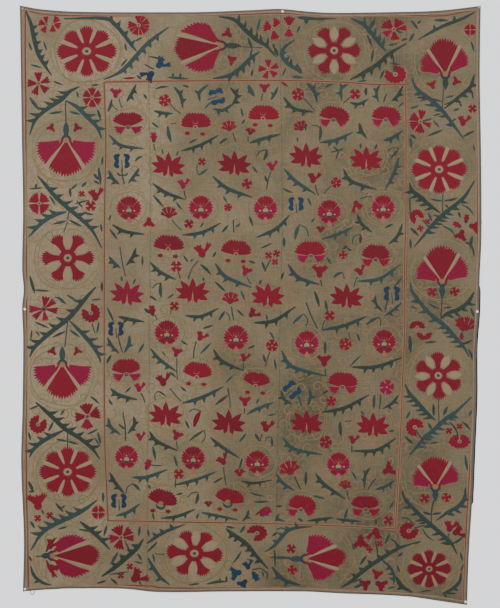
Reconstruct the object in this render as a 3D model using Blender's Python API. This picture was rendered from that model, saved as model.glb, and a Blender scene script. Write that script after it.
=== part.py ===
"""An embroidered cloth hanging, pinned up by its edges.

Four loom widths of hand-woven cotton are sewn side by side, an edging tape is folded round all four
sides, and a lining hangs behind. Seven push pins go through the edging, and a small cord loop is sewn
under the lower left corner. The cloth billows a little between the pins.

Frame: X across, to the right as seen from the front; Z up, with Z = 0 at the middle of the top edge;
the cloth hangs in front of the plane Y = 0, towards -Y, and is drawn in to it at the pins. Metres.

A place on the cloth is given by two shares: across, from 0 at the left edge to 1 at the right one,
and down, from 0 at the top edge to 1 at the bottom one.
"""

import math
from collections import namedtuple

import bmesh
import bpy

MM = 0.001

WIDTH = 1797 * MM  # across the top edge
HEIGHT = 2290 * MM  # about the mean drop, used only to turn lengths into shares
CLEARANCE = 0.3 * MM  # between pieces that touch

# The outline as it hangs: a share along the edge, then the edge's place, in millimetres.
EdgePoint = namedtuple("EdgePoint", "share place_mm")
LEFT_EDGE = (
    EdgePoint(0.00, -899),
    EdgePoint(0.11, -895),
    EdgePoint(0.21, -891),
    EdgePoint(0.35, -886),
    EdgePoint(0.45, -890),
    EdgePoint(0.485, -884),
    EdgePoint(0.515, -890),
    EdgePoint(0.57, -886),
    EdgePoint(0.69, -888),
    EdgePoint(0.78, -893),
    EdgePoint(0.91, -883),
    EdgePoint(1.00, -887),
)
RIGHT_EDGE = (
    EdgePoint(0.00, 898),
    EdgePoint(0.12, 894),
    EdgePoint(0.25, 898),
    EdgePoint(0.39, 900),
    EdgePoint(0.45, 894),
    EdgePoint(0.51, 891),
    EdgePoint(0.57, 881),
    EdgePoint(0.65, 880),
    EdgePoint(0.74, 871),
    EdgePoint(0.83, 863),
    EdgePoint(0.91, 852),
    EdgePoint(1.00, 845),
)
TOP_EDGE = (
    EdgePoint(0.00, 18),
    EdgePoint(0.045, 4),
    EdgePoint(0.13, -7),
    EdgePoint(0.36, -10),
    EdgePoint(0.50, 0),
    EdgePoint(0.565, 5),
    EdgePoint(0.63, -6),
    EdgePoint(0.69, -11),
    EdgePoint(0.85, -7),
    EdgePoint(0.92, 0),
    EdgePoint(1.00, 17),
)
BOTTOM_EDGE = (
    EdgePoint(0.00, -2266),
    EdgePoint(0.07, -2257),
    EdgePoint(0.12, -2254),
    EdgePoint(0.23, -2255),
    EdgePoint(0.30, -2266),
    EdgePoint(0.45, -2264),
    EdgePoint(0.63, -2264),
    EdgePoint(0.72, -2273),
    EdgePoint(0.82, -2280),
    EdgePoint(0.91, -2293),
    EdgePoint(1.00, -2318),
)

SEAMS = (0.279, 0.566, 0.839)  # shares across, where two loom widths meet
CELLS_ACROSS = (6, 6, 6, 4)  # mesh cells in each loom width
CELLS_DOWN = 26
EDGE_LINE = 20 * MM  # a mesh line this far inside each edge, just past the edging

# The push pins: how far their middles lie across and down, in shares.
Pin = namedtuple("Pin", "name across down head")
PINS = (
    Pin("push_pin_top_left", 0.0064, 0.0050, "steel"),
    Pin("push_pin_top_middle", 0.5700, 0.0046, "white"),
    Pin("push_pin_top_right", 0.9964, 0.0028, "steel"),
    Pin("push_pin_left", 0.0064, 0.5180, "white"),
    Pin("push_pin_right", 0.9956, 0.5104, "white"),
    Pin("push_pin_bottom_left", 0.0052, 0.9958, "white"),
    Pin("push_pin_bottom_right", 0.9960, 0.9952, "white"),
)
HEAD_RADIUS = 4.8 * MM
HEAD_HEIGHT = 2.9 * MM
SHANK_RADIUS = 0.55 * MM
POINT_LENGTH = 3.0 * MM
SHANK_BEHIND = 8.0 * MM  # how far a shank reaches past the plane Y = 0
PIN_HOLE_RADIUS = 1.1 * MM
PIN_HOLE_LENGTH = 80 * MM
PIN_SIDES = 12
HOLE_SIDES = 8

# A head's profile from its rim to its crown: shares of its radius and of its height.
DomePoint = namedtuple("DomePoint", "radius_share height_share")
HEAD_DOME = (
    DomePoint(1.0, 0.0),
    DomePoint(1.0, 0.25),
    DomePoint(0.8, 0.72),
    DomePoint(0.45, 0.94),
    DomePoint(0.0, 1.0),
)

# How far the cloth stands off the plane Y = 0: broad swells, none of them at a pin.
Swell = namedtuple("Swell", "x z reach_x reach_z height_mm")
SWELLS = (
    Swell(-0.40, -0.02, 0.42, 0.42, 14),
    Swell(0.47, -0.02, 0.34, 0.40, 12),
    Swell(-0.84, -0.60, 0.24, 0.50, 6),
    Swell(-0.84, -1.75, 0.24, 0.45, 6),
    Swell(0.84, -0.55, 0.24, 0.50, 7),
    Swell(0.80, -1.70, 0.24, 0.50, 7),
    Swell(-0.10, -2.30, 0.60, 0.40, 12),
    Swell(0.20, -1.10, 0.65, 0.75, 7),
)
PIN_REACH = 0.35  # within about this distance a pin draws the cloth in
RIPPLE_HEIGHT = 1.4 * MM
RIPPLE_PITCH = 0.42
RIPPLE_SWAY = 0.9
RIPPLE_SWAY_PITCH = 1.9
BACK_GAP = 0.4 * MM  # between the lining and the plane Y = 0 at a pin

# Layers, as depths from the back of the lining towards the front.
LINING_THICKNESS = 1.0 * MM
LINING_INSET = 4.0 * MM
LINING_PROUD = 5.5 * MM  # how far it shows past the right edge
LINING_SHOWS = (0.459, 0.474, 0.829, 0.834)  # shares down: starts, full, full, ends
CLOTH_DEPTH = 3.35 * MM  # middle of the embroidered cloth
CLOTH_THICKNESS = 1.5 * MM
CLOTH_INSET = 2.3 * MM

# The edging tape's section: millimetres in from the cloth's edge, and depth from the lining's back.
EDGING_WIDTH_MM = 14.5
EDGING_FRONT_MM = 6.0
SectionPoint = namedtuple("SectionPoint", "inward_mm depth_mm")
EDGING_SECTION = (
    SectionPoint(EDGING_WIDTH_MM, 1.3),
    SectionPoint(3.2, 1.3),
    SectionPoint(0.7, 1.4),
    SectionPoint(0.0, 2.3),
    SectionPoint(0.0, 4.8),
    SectionPoint(0.7, 5.8),
    SectionPoint(2.6, EDGING_FRONT_MM),
    SectionPoint(3.4, 5.4),
    SectionPoint(EDGING_WIDTH_MM, 5.4),
    SectionPoint(EDGING_WIDTH_MM, 4.4),
    SectionPoint(2.0, 4.4),
    SectionPoint(2.0, 2.3),
    SectionPoint(EDGING_WIDTH_MM, 2.3),
)

LOOP_ACROSS = 0.0215  # share across of the loop's middle
LOOP_CORD = 3.6 * MM
LOOP_SPAN = 14.0 * MM  # between the middles of its two ends
LOOP_DROP = 16.0 * MM
LOOP_DEPTH = 3.5 * MM
LOOP_START = 0.5 * MM  # beyond the clearance under the edging, whose foot slopes there
LOOP_ARC_POINTS = 9
SMOOTH_ANGLE = math.radians(40)

COTTON = ("undyed_cotton", "B5A47F", 0.9)
TAPE = ("edging_tape", "A68C72", 0.85)
LINING = ("lining_cotton", "2B2A38", 0.9)
CORD = ("loop_cord", "9A8878", 0.9)
HEADS = {
    "white": ("white_enamel", "F2EEE8", 0.35),
    "steel": ("dull_steel", "8E8A84", 0.45),
}


def curve_at(points, share):
    """A smooth curve through an edge's points (Catmull-Rom), in metres."""
    last = len(points) - 2
    index = min(last, max(0, sum(p.share <= share for p in points) - 1))
    a, b = points[index], points[index + 1]
    before = points[max(index - 1, 0)]
    after = points[min(index + 2, len(points) - 1)]
    span = b.share - a.share
    slope_a = (b.place_mm - before.place_mm) / (b.share - before.share) * span
    slope_b = (after.place_mm - a.place_mm) / (after.share - a.share) * span
    u = (share - a.share) / span
    value = (
        (2 * u**3 - 3 * u**2 + 1) * a.place_mm
        + (u**3 - 2 * u**2 + u) * slope_a
        + (3 * u**2 - 2 * u**3) * b.place_mm
        + (u**3 - u**2) * slope_b
    )
    return value * MM


def place(across, down):
    """The cloth's x and z at a share across and a share down."""
    x = (1 - across) * curve_at(LEFT_EDGE, down) + across * curve_at(RIGHT_EDGE, down)
    z = (1 - down) * curve_at(TOP_EDGE, across) + down * curve_at(BOTTOM_EDGE, across)
    return x, z


def held(x, z):
    """0 at a pin, rising to 1 away from all of them."""
    free = 1.0
    for pin in PINS:
        pin_x, pin_z = place(pin.across, pin.down)
        distance = math.hypot(x - pin_x, z - pin_z)
        free *= 1 - math.exp(-((distance / PIN_REACH) ** 2))
    return free


def stand_off(x, z):
    """How far the back of the lining stands off the plane Y = 0."""
    swell = sum(
        s.height_mm
        * MM
        * math.exp(-(((x - s.x) / s.reach_x) ** 2) - ((z - s.z) / s.reach_z) ** 2)
        for s in SWELLS
    )
    sway = RIPPLE_SWAY * math.sin(2 * math.pi * z / RIPPLE_SWAY_PITCH)
    ripple = RIPPLE_HEIGHT * (1 + math.sin(2 * math.pi * x / RIPPLE_PITCH + sway))
    return BACK_GAP + held(x, z) * (swell + ripple)


def point(across, down, depth):
    """The point of the hanging at two shares and a depth from the lining's back."""
    x, z = place(across, down)
    return x, -(stand_off(x, z) + depth), z


def lines_across():
    """Mesh lines inside the cloth, as shares across: the seams and the cells between them."""
    edges = (0.0, *SEAMS, 1.0)
    lines = [EDGE_LINE / WIDTH, *SEAMS, 1 - EDGE_LINE / WIDTH]
    for low, high, cells in zip(edges, edges[1:], CELLS_ACROSS):
        lines += [low + (high - low) * k / cells for k in range(1, cells)]
    return sorted(lines)


def lines_down():
    """Mesh lines inside the cloth, as shares down, with those where the lining comes into view."""
    lines = [EDGE_LINE / HEIGHT, 1 - EDGE_LINE / HEIGHT, *LINING_SHOWS]
    lines += [k / CELLS_DOWN for k in range(1, CELLS_DOWN)]
    return sorted(lines)


def between(lines, low, high):
    """low, the lines that lie between low and high, and high."""
    return [low, *(line for line in lines if low < line < high), high]


def material(name, colour, roughness):
    """A Principled BSDF material with an sRGB hex colour."""
    made = bpy.data.materials.get(name)
    if made:
        return made
    made = bpy.data.materials.new(name)
    made.use_nodes = True
    parts = [int(colour[k : k + 2], 16) / 255 for k in (0, 2, 4)]
    linear = [c / 12.92 if c <= 0.04045 else ((c + 0.055) / 1.055) ** 2.4 for c in parts]
    shader = made.node_tree.nodes["Principled BSDF"]
    shader.inputs["Base Color"].default_value = (*linear, 1)
    shader.inputs["Roughness"].default_value = roughness
    return made


def add_object(name, data, finish):
    """Links a mesh or curve as an object with its material."""
    made = bpy.data.objects.new(name, data)
    bpy.context.scene.collection.objects.link(made)
    data.materials.append(material(*finish))
    return made


def mesh_object(name, shape, finish, smooth=True):
    """Turns a bmesh into an object."""
    data = bpy.data.meshes.new(name)
    shape.to_mesh(data)
    shape.free()
    if smooth:
        data.shade_smooth()
        data.set_sharp_from_angle(angle=SMOOTH_ANGLE)
    return add_object(name, data, finish)


def sheet(name, rows, thickness, finish):
    """A sheet whose middle surface is a grid of points, given its thickness by Solidify."""
    shape = bmesh.new()
    grid = [[shape.verts.new(p) for p in row] for row in rows]
    for upper, lower in zip(grid, grid[1:]):
        for k in range(len(upper) - 1):
            shape.faces.new((upper[k], lower[k], lower[k + 1], upper[k + 1]))
    made = mesh_object(name, shape, finish)
    solidify = made.modifiers.new("thickness", "SOLIDIFY")
    solidify.thickness = thickness
    solidify.offset = 0
    return made


def loft(name, sections, finish):
    """A closed solid through a row of closed sections, capped at both ends."""
    shape = bmesh.new()
    rings = [[shape.verts.new(p) for p in section] for section in sections]
    count = len(rings[0])
    for ring, following in zip(rings, rings[1:]):
        for k in range(count):
            m = (k + 1) % count
            shape.faces.new((ring[k], ring[m], following[m], following[k]))
    shape.faces.new(list(reversed(rings[0])))
    shape.faces.new(rings[-1])
    bmesh.ops.recalc_face_normals(shape, faces=shape.faces)
    return mesh_object(name, shape, finish)


def loom_widths():
    """The four widths of embroidered cotton, a hair apart at their seams."""
    inset = CLOTH_INSET / WIDTH
    half_gap = CLEARANCE / 2 / WIDTH
    lows = (inset, *(seam + half_gap for seam in SEAMS))
    highs = (*(seam - half_gap for seam in SEAMS), 1 - inset)
    downs = between(lines_down(), CLOTH_INSET / HEIGHT, 1 - CLOTH_INSET / HEIGHT)
    made = []
    for number, (low, high) in enumerate(zip(lows, highs), start=1):
        acrosses = between(lines_across(), low, high)
        rows = [[point(a, d, CLOTH_DEPTH) for a in acrosses] for d in downs]
        made.append(sheet(f"cloth_width_{number}", rows, CLOTH_THICKNESS, COTTON))
    return made


def lining_edge(down):
    """The share across of the lining's right edge, which comes into view along one stretch."""
    start, full, still_full, end = LINING_SHOWS
    rising = min(1, max(0, (down - start) / (full - start)))
    falling = min(1, max(0, (end - down) / (end - still_full)))
    proud = -LINING_INSET + (LINING_PROUD + LINING_INSET) * min(rising, falling)
    return 1 + proud / WIDTH


def lining():
    """The lining behind the cloth."""
    inset = LINING_INSET
    downs = between(lines_down(), inset / HEIGHT, 1 - inset / HEIGHT)
    acrosses = between(lines_across(), inset / WIDTH, 1)[:-1]
    rows = [
        [point(a, d, LINING_THICKNESS / 2) for a in (*acrosses, lining_edge(d))]
        for d in downs
    ]
    return [sheet("lining", rows, LINING_THICKNESS, LINING)]


def side_edging(name, mirrored):
    """A tape folded over a side edge, from the top of the cloth to its foot."""
    sections = []
    for down in between(lines_down(), 0.0, 1.0):
        section = []
        for p in EDGING_SECTION:
            inward = p.inward_mm * MM / WIDTH
            across = 1 - inward if mirrored else inward
            section.append(point(across, down, p.depth_mm * MM))
        sections.append(section)
    return loft(name, sections, TAPE)


def end_edging(name, at_foot):
    """A tape folded over the top or the foot, from one side tape to the other."""
    start = (EDGING_WIDTH_MM * MM + CLEARANCE) / WIDTH
    sections = []
    for across in between(lines_across(), start, 1 - start):
        section = []
        for p in EDGING_SECTION:
            inward = p.inward_mm * MM / HEIGHT
            down = 1 - inward if at_foot else inward
            section.append(point(across, down, p.depth_mm * MM))
        sections.append(section)
    return loft(name, sections, TAPE)


def edging():
    """The four tapes."""
    return [
        side_edging("edging_left", mirrored=False),
        side_edging("edging_right", mirrored=True),
        end_edging("edging_top", at_foot=False),
        end_edging("edging_foot", at_foot=True),
    ]


def spun(profile, sides):
    """A bmesh turned about the Y axis from points of radius and y, its ends on the axis."""
    shape = bmesh.new()
    verts = [shape.verts.new((radius, y, 0)) for radius, y in profile]
    edges = [shape.edges.new(pair) for pair in zip(verts, verts[1:])]
    bmesh.ops.spin(
        shape,
        geom=verts + edges,
        cent=(0, 0, 0),
        axis=(0, 1, 0),
        angle=2 * math.pi,
        steps=sides,
        use_duplicate=False,
    )
    bmesh.ops.remove_doubles(shape, verts=shape.verts, dist=0.01 * MM)
    bmesh.ops.recalc_face_normals(shape, faces=shape.faces)
    return shape


def push_pins():
    """The push pins: a domed head in front of the edging, and a shank through it and out behind."""
    for pin in PINS:
        x, z = place(pin.across, pin.down)
        head_back = stand_off(x, z) + EDGING_FRONT_MM * MM + CLEARANCE
        tip = head_back + SHANK_BEHIND
        shank = [(0, tip), (SHANK_RADIUS, tip - POINT_LENGTH), (SHANK_RADIUS, 0)]
        head = [(HEAD_RADIUS * p.radius_share, -HEAD_HEIGHT * p.height_share) for p in HEAD_DOME]
        made = mesh_object(pin.name, spun(shank + head, PIN_SIDES), HEADS[pin.head])
        made.location = (x, -head_back, z)


def hole_cutter():
    """One cutter with a rod at each pin, wider than its shank."""
    shape = bmesh.new()
    for pin in PINS:
        x, z = place(pin.across, pin.down)
        rod = bmesh.ops.create_cone(
            shape,
            cap_ends=True,
            segments=HOLE_SIDES,
            radius1=PIN_HOLE_RADIUS,
            radius2=PIN_HOLE_RADIUS,
            depth=PIN_HOLE_LENGTH,
        )
        for vert in rod["verts"]:
            vert.co = (vert.co.x + x, vert.co.z, z - vert.co.y)
    cutter = mesh_object("pin_holes", shape, COTTON, smooth=False)
    cutter.hide_render = True
    cutter.display_type = "WIRE"
    return cutter


def cut_holes(objects, cutter):
    """Lets the shanks pass through cloth, lining and edging."""
    for made in objects:
        cut = made.modifiers.new("pin_holes", "BOOLEAN")
        cut.operation = "DIFFERENCE"
        cut.object = cutter


def corner_loop():
    """A cord loop that hangs under the lower left corner."""
    x, z = place(LOOP_ACROSS, 1.0)
    depth = stand_off(x, z) + LOOP_DEPTH
    top = z - CLEARANCE - LOOP_START
    radius = LOOP_SPAN / 2
    arc_middle = z - LOOP_DROP + LOOP_CORD / 2 + radius
    route = [(-radius, top)]
    for k in range(LOOP_ARC_POINTS):
        turn = math.pi * (1 + k / (LOOP_ARC_POINTS - 1))
        route.append((radius * math.cos(turn), arc_middle + radius * math.sin(turn)))
    route.append((radius, top))
    data = bpy.data.curves.new("corner_loop", "CURVE")
    data.dimensions = "3D"
    data.bevel_depth = LOOP_CORD / 2
    data.bevel_resolution = 2
    data.use_fill_caps = True
    spline = data.splines.new("POLY")
    spline.points.add(len(route) - 1)
    for spot, (off, height) in zip(spline.points, route):
        spot.co = (x + off, -depth, height, 1)
    add_object("corner_loop", data, CORD)


def main():
    for old in list(bpy.data.objects):
        bpy.data.objects.remove(old)
    pierced = loom_widths() + lining() + edging()
    cut_holes(pierced, hole_cutter())
    push_pins()
    corner_loop()


main()
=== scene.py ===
"""The embroidered hanging, dressed for its picture.

The cloth, its edging, lining, pins and corner loop repeat the shapes of the solids more finely.
The embroidery is laid on the cloth as low raised patches of stitching, each one a numpy grid.
Its flowers, leaves and branches are placed by a chart whose steps are 3.9 mm, counted from the left
and from the top, and are drawn by rule: petals, lobes and thorns from lengths, widths and angles.
"""

import logging
import math
from dataclasses import dataclass, field
from enum import Enum
from typing import NamedTuple

import bmesh
import bpy
import mathutils
import numpy as np
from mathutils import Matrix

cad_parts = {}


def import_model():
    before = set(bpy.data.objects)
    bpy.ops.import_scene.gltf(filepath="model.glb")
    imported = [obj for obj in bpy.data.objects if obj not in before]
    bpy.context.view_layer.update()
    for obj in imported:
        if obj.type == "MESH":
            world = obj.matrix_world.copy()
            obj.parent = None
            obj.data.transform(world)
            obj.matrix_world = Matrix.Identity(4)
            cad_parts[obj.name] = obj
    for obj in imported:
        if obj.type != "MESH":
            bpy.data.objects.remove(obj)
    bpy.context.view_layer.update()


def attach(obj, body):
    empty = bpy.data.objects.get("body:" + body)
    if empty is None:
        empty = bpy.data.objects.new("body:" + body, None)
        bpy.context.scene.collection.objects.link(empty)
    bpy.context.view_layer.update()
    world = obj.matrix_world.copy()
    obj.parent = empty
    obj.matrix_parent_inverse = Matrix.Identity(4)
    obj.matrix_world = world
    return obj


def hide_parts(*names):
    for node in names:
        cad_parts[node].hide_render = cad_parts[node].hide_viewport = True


LOG = logging.getLogger("hanging")
MM = 0.001

WIDTH = 1797 * MM
HEIGHT = 2290 * MM
CLEARANCE = 0.3 * MM

# The outline as it hangs: a share along each edge, and the edge's place in millimetres.
LEFT_EDGE = np.array([(0, -899), (0.11, -895), (0.21, -891), (0.35, -886), (0.45, -890),
    (0.485, -884)] + [(0.515, -890), (0.57, -886), (0.69, -888), (0.78, -893), (0.91, -883), (1,
    -887)])
RIGHT_EDGE = np.array([(0, 898), (0.12, 894), (0.25, 898), (0.39, 900), (0.45, 894), (0.51, 891)]
    + [(0.57, 881), (0.65, 880), (0.74, 871), (0.83, 863), (0.91, 852), (1, 845)])
TOP_EDGE = np.array([(0, 18), (0.045, 4), (0.13, -7), (0.36, -10), (0.5, 0), (0.565, 5)]
    + [(0.63, -6), (0.69, -11), (0.85, -7), (0.92, 0), (1, 17)])
BOTTOM_EDGE = np.array([(0, -2266), (0.07, -2257), (0.12, -2254), (0.23, -2255), (0.3, -2266),
    (0.45, -2264)] + [(0.63, -2264), (0.72, -2273), (0.82, -2280), (0.91, -2293), (1, -2318)])
SEAMS = (0.279, 0.566, 0.839)


class Swell(NamedTuple):
    """A broad place where the cloth stands off: middle, reach in metres, height in millimetres."""

    x: float
    z: float
    reach_x: float
    reach_z: float
    height: float


SWELLS = tuple(
    Swell(*row)
    for row in (
        (-0.40, -0.02, 0.42, 0.42, 14), (0.47, -0.02, 0.34, 0.40, 12),
        (-0.84, -0.60, 0.24, 0.50, 6), (-0.84, -1.75, 0.24, 0.45, 6), (0.84, -0.55, 0.24, 0.50, 7),
        (0.80, -1.70, 0.24, 0.50, 7), (-0.10, -2.30, 0.60, 0.40, 12), (0.20, -1.10, 0.65, 0.75, 7),
    )
)


class PinHead(Enum):
    """What a push pin's head is made of."""

    STEEL = "steel"
    WHITE = "white"


class PinSpot(NamedTuple):
    """A push pin's node, its shares across and down, and its head."""

    node: str
    across: float
    down: float
    head: PinHead


PINS = (
    PinSpot("push_pin_top_left", 0.0064, 0.0050, PinHead.STEEL),
    PinSpot("push_pin_top_middle", 0.5700, 0.0046, PinHead.WHITE),
    PinSpot("push_pin_top_right", 0.9964, 0.0028, PinHead.STEEL),
    PinSpot("push_pin_left", 0.0064, 0.5180, PinHead.WHITE),
    PinSpot("push_pin_right", 0.9956, 0.5104, PinHead.WHITE),
    PinSpot("push_pin_bottom_left", 0.0052, 0.9958, PinHead.WHITE),
    PinSpot("push_pin_bottom_right", 0.9960, 0.9952, PinHead.WHITE),
)
PIN_REACH = 0.35
RIPPLE_HEIGHT = 1.4 * MM
RIPPLE_PITCH = 0.42
RIPPLE_SWAY = 0.9
RIPPLE_SWAY_PITCH = 1.9
BACK_GAP = 0.4 * MM
PUCKER_HEIGHT = 0.3 * MM

# Depths from the lining's back to the front of each layer.
LINING_FRONT = 1.0 * MM
CLOTH_BACK = 2.6 * MM
CLOTH_FRONT = 4.1 * MM
EDGING_FRONT = 6.0 * MM

CHART_STEP = 3.9 * MM
CHART_MIDDLE = 250.4  # the chart's column at X = 0
CHART_TOP = 10.3  # the chart's row at Z = 0


def edge_at(points: np.ndarray, share: np.ndarray) -> np.ndarray:
    """Follows an edge: a Catmull-Rom curve through its points.

    Args:
        points: rows of share and place in millimetres.
        share: where to read it.

    Returns:
        The edge's place in metres.
    """
    shares, places = points[:, 0], points[:, 1]
    last = len(points) - 2
    k = np.clip(np.searchsorted(shares, share, side="right") - 1, 0, last)
    before, after = np.maximum(k - 1, 0), np.minimum(k + 2, last + 1)
    span = shares[k + 1] - shares[k]
    slope_a = (places[k + 1] - places[before]) / (shares[k + 1] - shares[before]) * span
    slope_b = (places[after] - places[k]) / (shares[after] - shares[k]) * span
    u = (share - shares[k]) / span
    value = (2 * u**3 - 3 * u**2 + 1) * places[k] + (u**3 - 2 * u**2 + u) * slope_a
    value = value + (3 * u**2 - 2 * u**3) * places[k + 1] + (u**3 - u**2) * slope_b
    return value * MM


def place(across: np.ndarray, down: np.ndarray) -> tuple[np.ndarray, np.ndarray]:
    """Blends opposite edges: x between left and right by across, z between top and bottom by down.

    Args:
        across: shares from the left edge to the right.
        down: shares from the top edge to the bottom.

    Returns:
        x and z in metres.
    """
    x = (1 - across) * edge_at(LEFT_EDGE, down) + across * edge_at(RIGHT_EDGE, down)
    z = (1 - down) * edge_at(TOP_EDGE, across) + down * edge_at(BOTTOM_EDGE, across)
    return x, z


def stand_off(x: np.ndarray, z: np.ndarray) -> np.ndarray:
    """The lining's distance from the plane Y = 0.

    Swells are bell curves, ripples a sine across with a swaying phase, and both fade to nothing at
    the pins. Small puckers of the stitched cloth ride on them.

    Args:
        x: places across, in metres.
        z: heights, in metres.

    Returns:
        The distance in metres.
    """
    free = np.ones_like(x)
    for pin in PINS:
        pin_x, pin_z = place(np.float64(pin.across), np.float64(pin.down))
        free = free * (1 - np.exp(-((x - pin_x) ** 2 + (z - pin_z) ** 2) / PIN_REACH**2))
    swell = np.zeros_like(x)
    for s in SWELLS:
        bell = np.exp(-(((x - s.x) / s.reach_x) ** 2) - ((z - s.z) / s.reach_z) ** 2)
        swell = swell + s.height * MM * bell
    sway = RIPPLE_SWAY * np.sin(2 * np.pi * z / RIPPLE_SWAY_PITCH)
    ripple = RIPPLE_HEIGHT * (1 + np.sin(2 * np.pi * x / RIPPLE_PITCH + sway))
    pucker = np.sin(2 * np.pi * x / 0.083 + 1.3 * np.sin(2 * np.pi * z / 0.21))
    pucker = pucker * np.sin(2 * np.pi * z / 0.112 + 1.1 * np.sin(2 * np.pi * x / 0.17))
    return BACK_GAP + free * (swell + ripple + PUCKER_HEIGHT * pucker)


def on_cloth(across: np.ndarray, down: np.ndarray, depth: np.ndarray) -> np.ndarray:
    """Points of the hanging.

    Args:
        across: shares across.
        down: shares down.
        depth: depths from the lining's back, in metres.

    Returns:
        An array of points, its last axis x, y, z.
    """
    x, z = place(across, down)
    return np.stack([x, -(stand_off(x, z) + depth), z], axis=-1)


def grid_quads(rows: int, columns: int, wrap: bool = False) -> np.ndarray:
    """Quads of a grid of points counted row by row.

    Args:
        rows: how many rows of points.
        columns: how many points in a row.
        wrap: whether each row closes on itself.

    Returns:
        An array of four point numbers a quad.
    """
    number = np.arange(rows * columns).reshape(rows, columns)
    if wrap:
        number = np.concatenate([number, number[:, :1]], axis=1)
    corners = (number[:-1, :-1], number[1:, :-1], number[1:, 1:], number[:-1, 1:])
    return np.stack(corners, axis=-1).reshape(-1, 4)


def linear(hex_colour: str) -> tuple[float, float, float, float]:
    """An sRGB hex colour as linear values with full alpha."""
    parts = np.array([int(hex_colour[k : k + 2], 16) / 255 for k in (1, 3, 5)])
    value = np.where(parts <= 0.04045, parts / 12.92, ((parts + 0.055) / 1.055) ** 2.4)
    return (*(float(v) for v in value), 1.0)


def add_node(
    material: bpy.types.Material, kind: str, settings: dict | None = None, links: dict | None = None
) -> bpy.types.Node:
    """Adds a shader node.

    Args:
        material: the material it belongs to.
        kind: the node's type name.
        settings: input sockets by name or number, or the node's own properties, and their values.
        links: input sockets by name or number, and the output that feeds each.

    Returns:
        The node.
    """
    tree = material.node_tree
    node = tree.nodes.new(kind)
    for key, value in (settings or {}).items():
        if isinstance(key, str) and hasattr(node, key):
            setattr(node, key, value)
        else:
            node.inputs[key].default_value = value
    for key, output in (links or {}).items():
        tree.links.new(output, node.inputs[key])
    return node


def new_material(name: str) -> bpy.types.Material:
    """An empty node material."""
    material = bpy.data.materials.new(name)
    material.use_nodes = True
    material.node_tree.nodes.clear()
    return material


def blend_colours(
    material: bpy.types.Material,
    factor: bpy.types.NodeSocket,
    first: bpy.types.NodeSocket | str,
    second: bpy.types.NodeSocket | str,
) -> bpy.types.NodeSocket:
    """Mixes two colours.

    Args:
        material: the material.
        factor: 0 for the first, 1 for the second.
        first: a colour output or a hex value.
        second: a colour output or a hex value.

    Returns:
        The mixed colour's output.
    """
    settings, links = {"data_type": "RGBA"}, {0: factor}
    for socket, value in ((6, first), (7, second)):
        if isinstance(value, str):
            settings[socket] = linear(value)
        else:
            links[socket] = value
    return add_node(material, "ShaderNodeMix", settings, links).outputs[2]


def noise(
    material: bpy.types.Material,
    pitch_mm: float | tuple[float, float, float],
    low: float = 0.35,
    high: float = 0.65,
    detail: float = 3.0,
) -> bpy.types.NodeSocket:
    """Noise of a real size on Object coordinates, spread to run from 0 to 1.

    Args:
        material: the material.
        pitch_mm: the size of its patches, one value or one for each axis.
        low: the noise value that becomes 0.
        high: the noise value that becomes 1.
        detail: the noise's detail.

    Returns:
        The output from 0 to 1.
    """
    sizes = pitch_mm if isinstance(pitch_mm, tuple) else (pitch_mm,) * 3
    place_node = add_node(material, "ShaderNodeTexCoord")
    mapping = add_node(material, "ShaderNodeMapping",
        {"Scale": tuple(1000 / size for size in sizes)}, {"Vector": place_node.outputs["Object"]})
    texture = add_node(material, "ShaderNodeTexNoise", {"Scale": 1.0, "Detail": detail},
        {"Vector": mapping.outputs[0]})
    spread = add_node(material, "ShaderNodeMapRange", {"From Min": low, "From Max": high},
        {"Value": texture.outputs[0]})
    return spread.outputs[0]


def close_material(
    made: bpy.types.Material,
    settings: dict,
    links: dict,
    bump: tuple[float, float, bpy.types.NodeSocket] | None = None,
) -> bpy.types.Material:
    """Adds the last nodes of a material: a bump if it has one, the shader and the output.

    Args:
        made: the material.
        settings: the shader's own values.
        links: the outputs that feed the shader.
        bump: the bump's strength, its depth in millimetres and the output that gives its height.

    Returns:
        The material.
    """
    if bump:
        strength, depth, height = bump
        ridges = add_node(made, "ShaderNodeBump", {"Strength": strength, "Distance": depth * MM},
            {"Height": height})
        links = {**links, "Normal": ridges.outputs[0]}
    shader = add_node(made, "ShaderNodeBsdfPrincipled", settings, links)
    add_node(made, "ShaderNodeOutputMaterial", {}, {"Surface": shader.outputs[0]})
    return made


def draw_yarns(
    made: bpy.types.Material, colour: bpy.types.NodeSocket, pitch: float, slub: float, top: float
) -> tuple[bpy.types.NodeSocket, bpy.types.NodeSocket]:
    """Draws thick and thin yarns both ways over a colour.

    Args:
        made: the material.
        colour: the colour beneath.
        pitch: the yarns' pitch in millimetres.
        slub: the length of a thick place along its yarn in millimetres.
        top: how bright the brightest yarn is.

    Returns:
        The shaded colour and the yarns' height.
    """
    weft = noise(made, (slub, 8.0, pitch), 0.3, 0.7, 2.0)
    warp = noise(made, (pitch, 8.0, slub), 0.3, 0.7, 2.0)
    yarns = add_node(made, "ShaderNodeMath", {"operation": "ADD"}, {0: weft, 1: warp})
    fine = add_node(made, "ShaderNodeMapRange", {"From Min": 0.4, "From Max": 1.6,
        "To Min": 0.86, "To Max": top}, {"Value": yarns.outputs[0]})
    value = add_node(made, "ShaderNodeHueSaturation", {},
        {"Value": fine.outputs[0], "Color": colour})
    return value.outputs[0], yarns.outputs[0]


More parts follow.
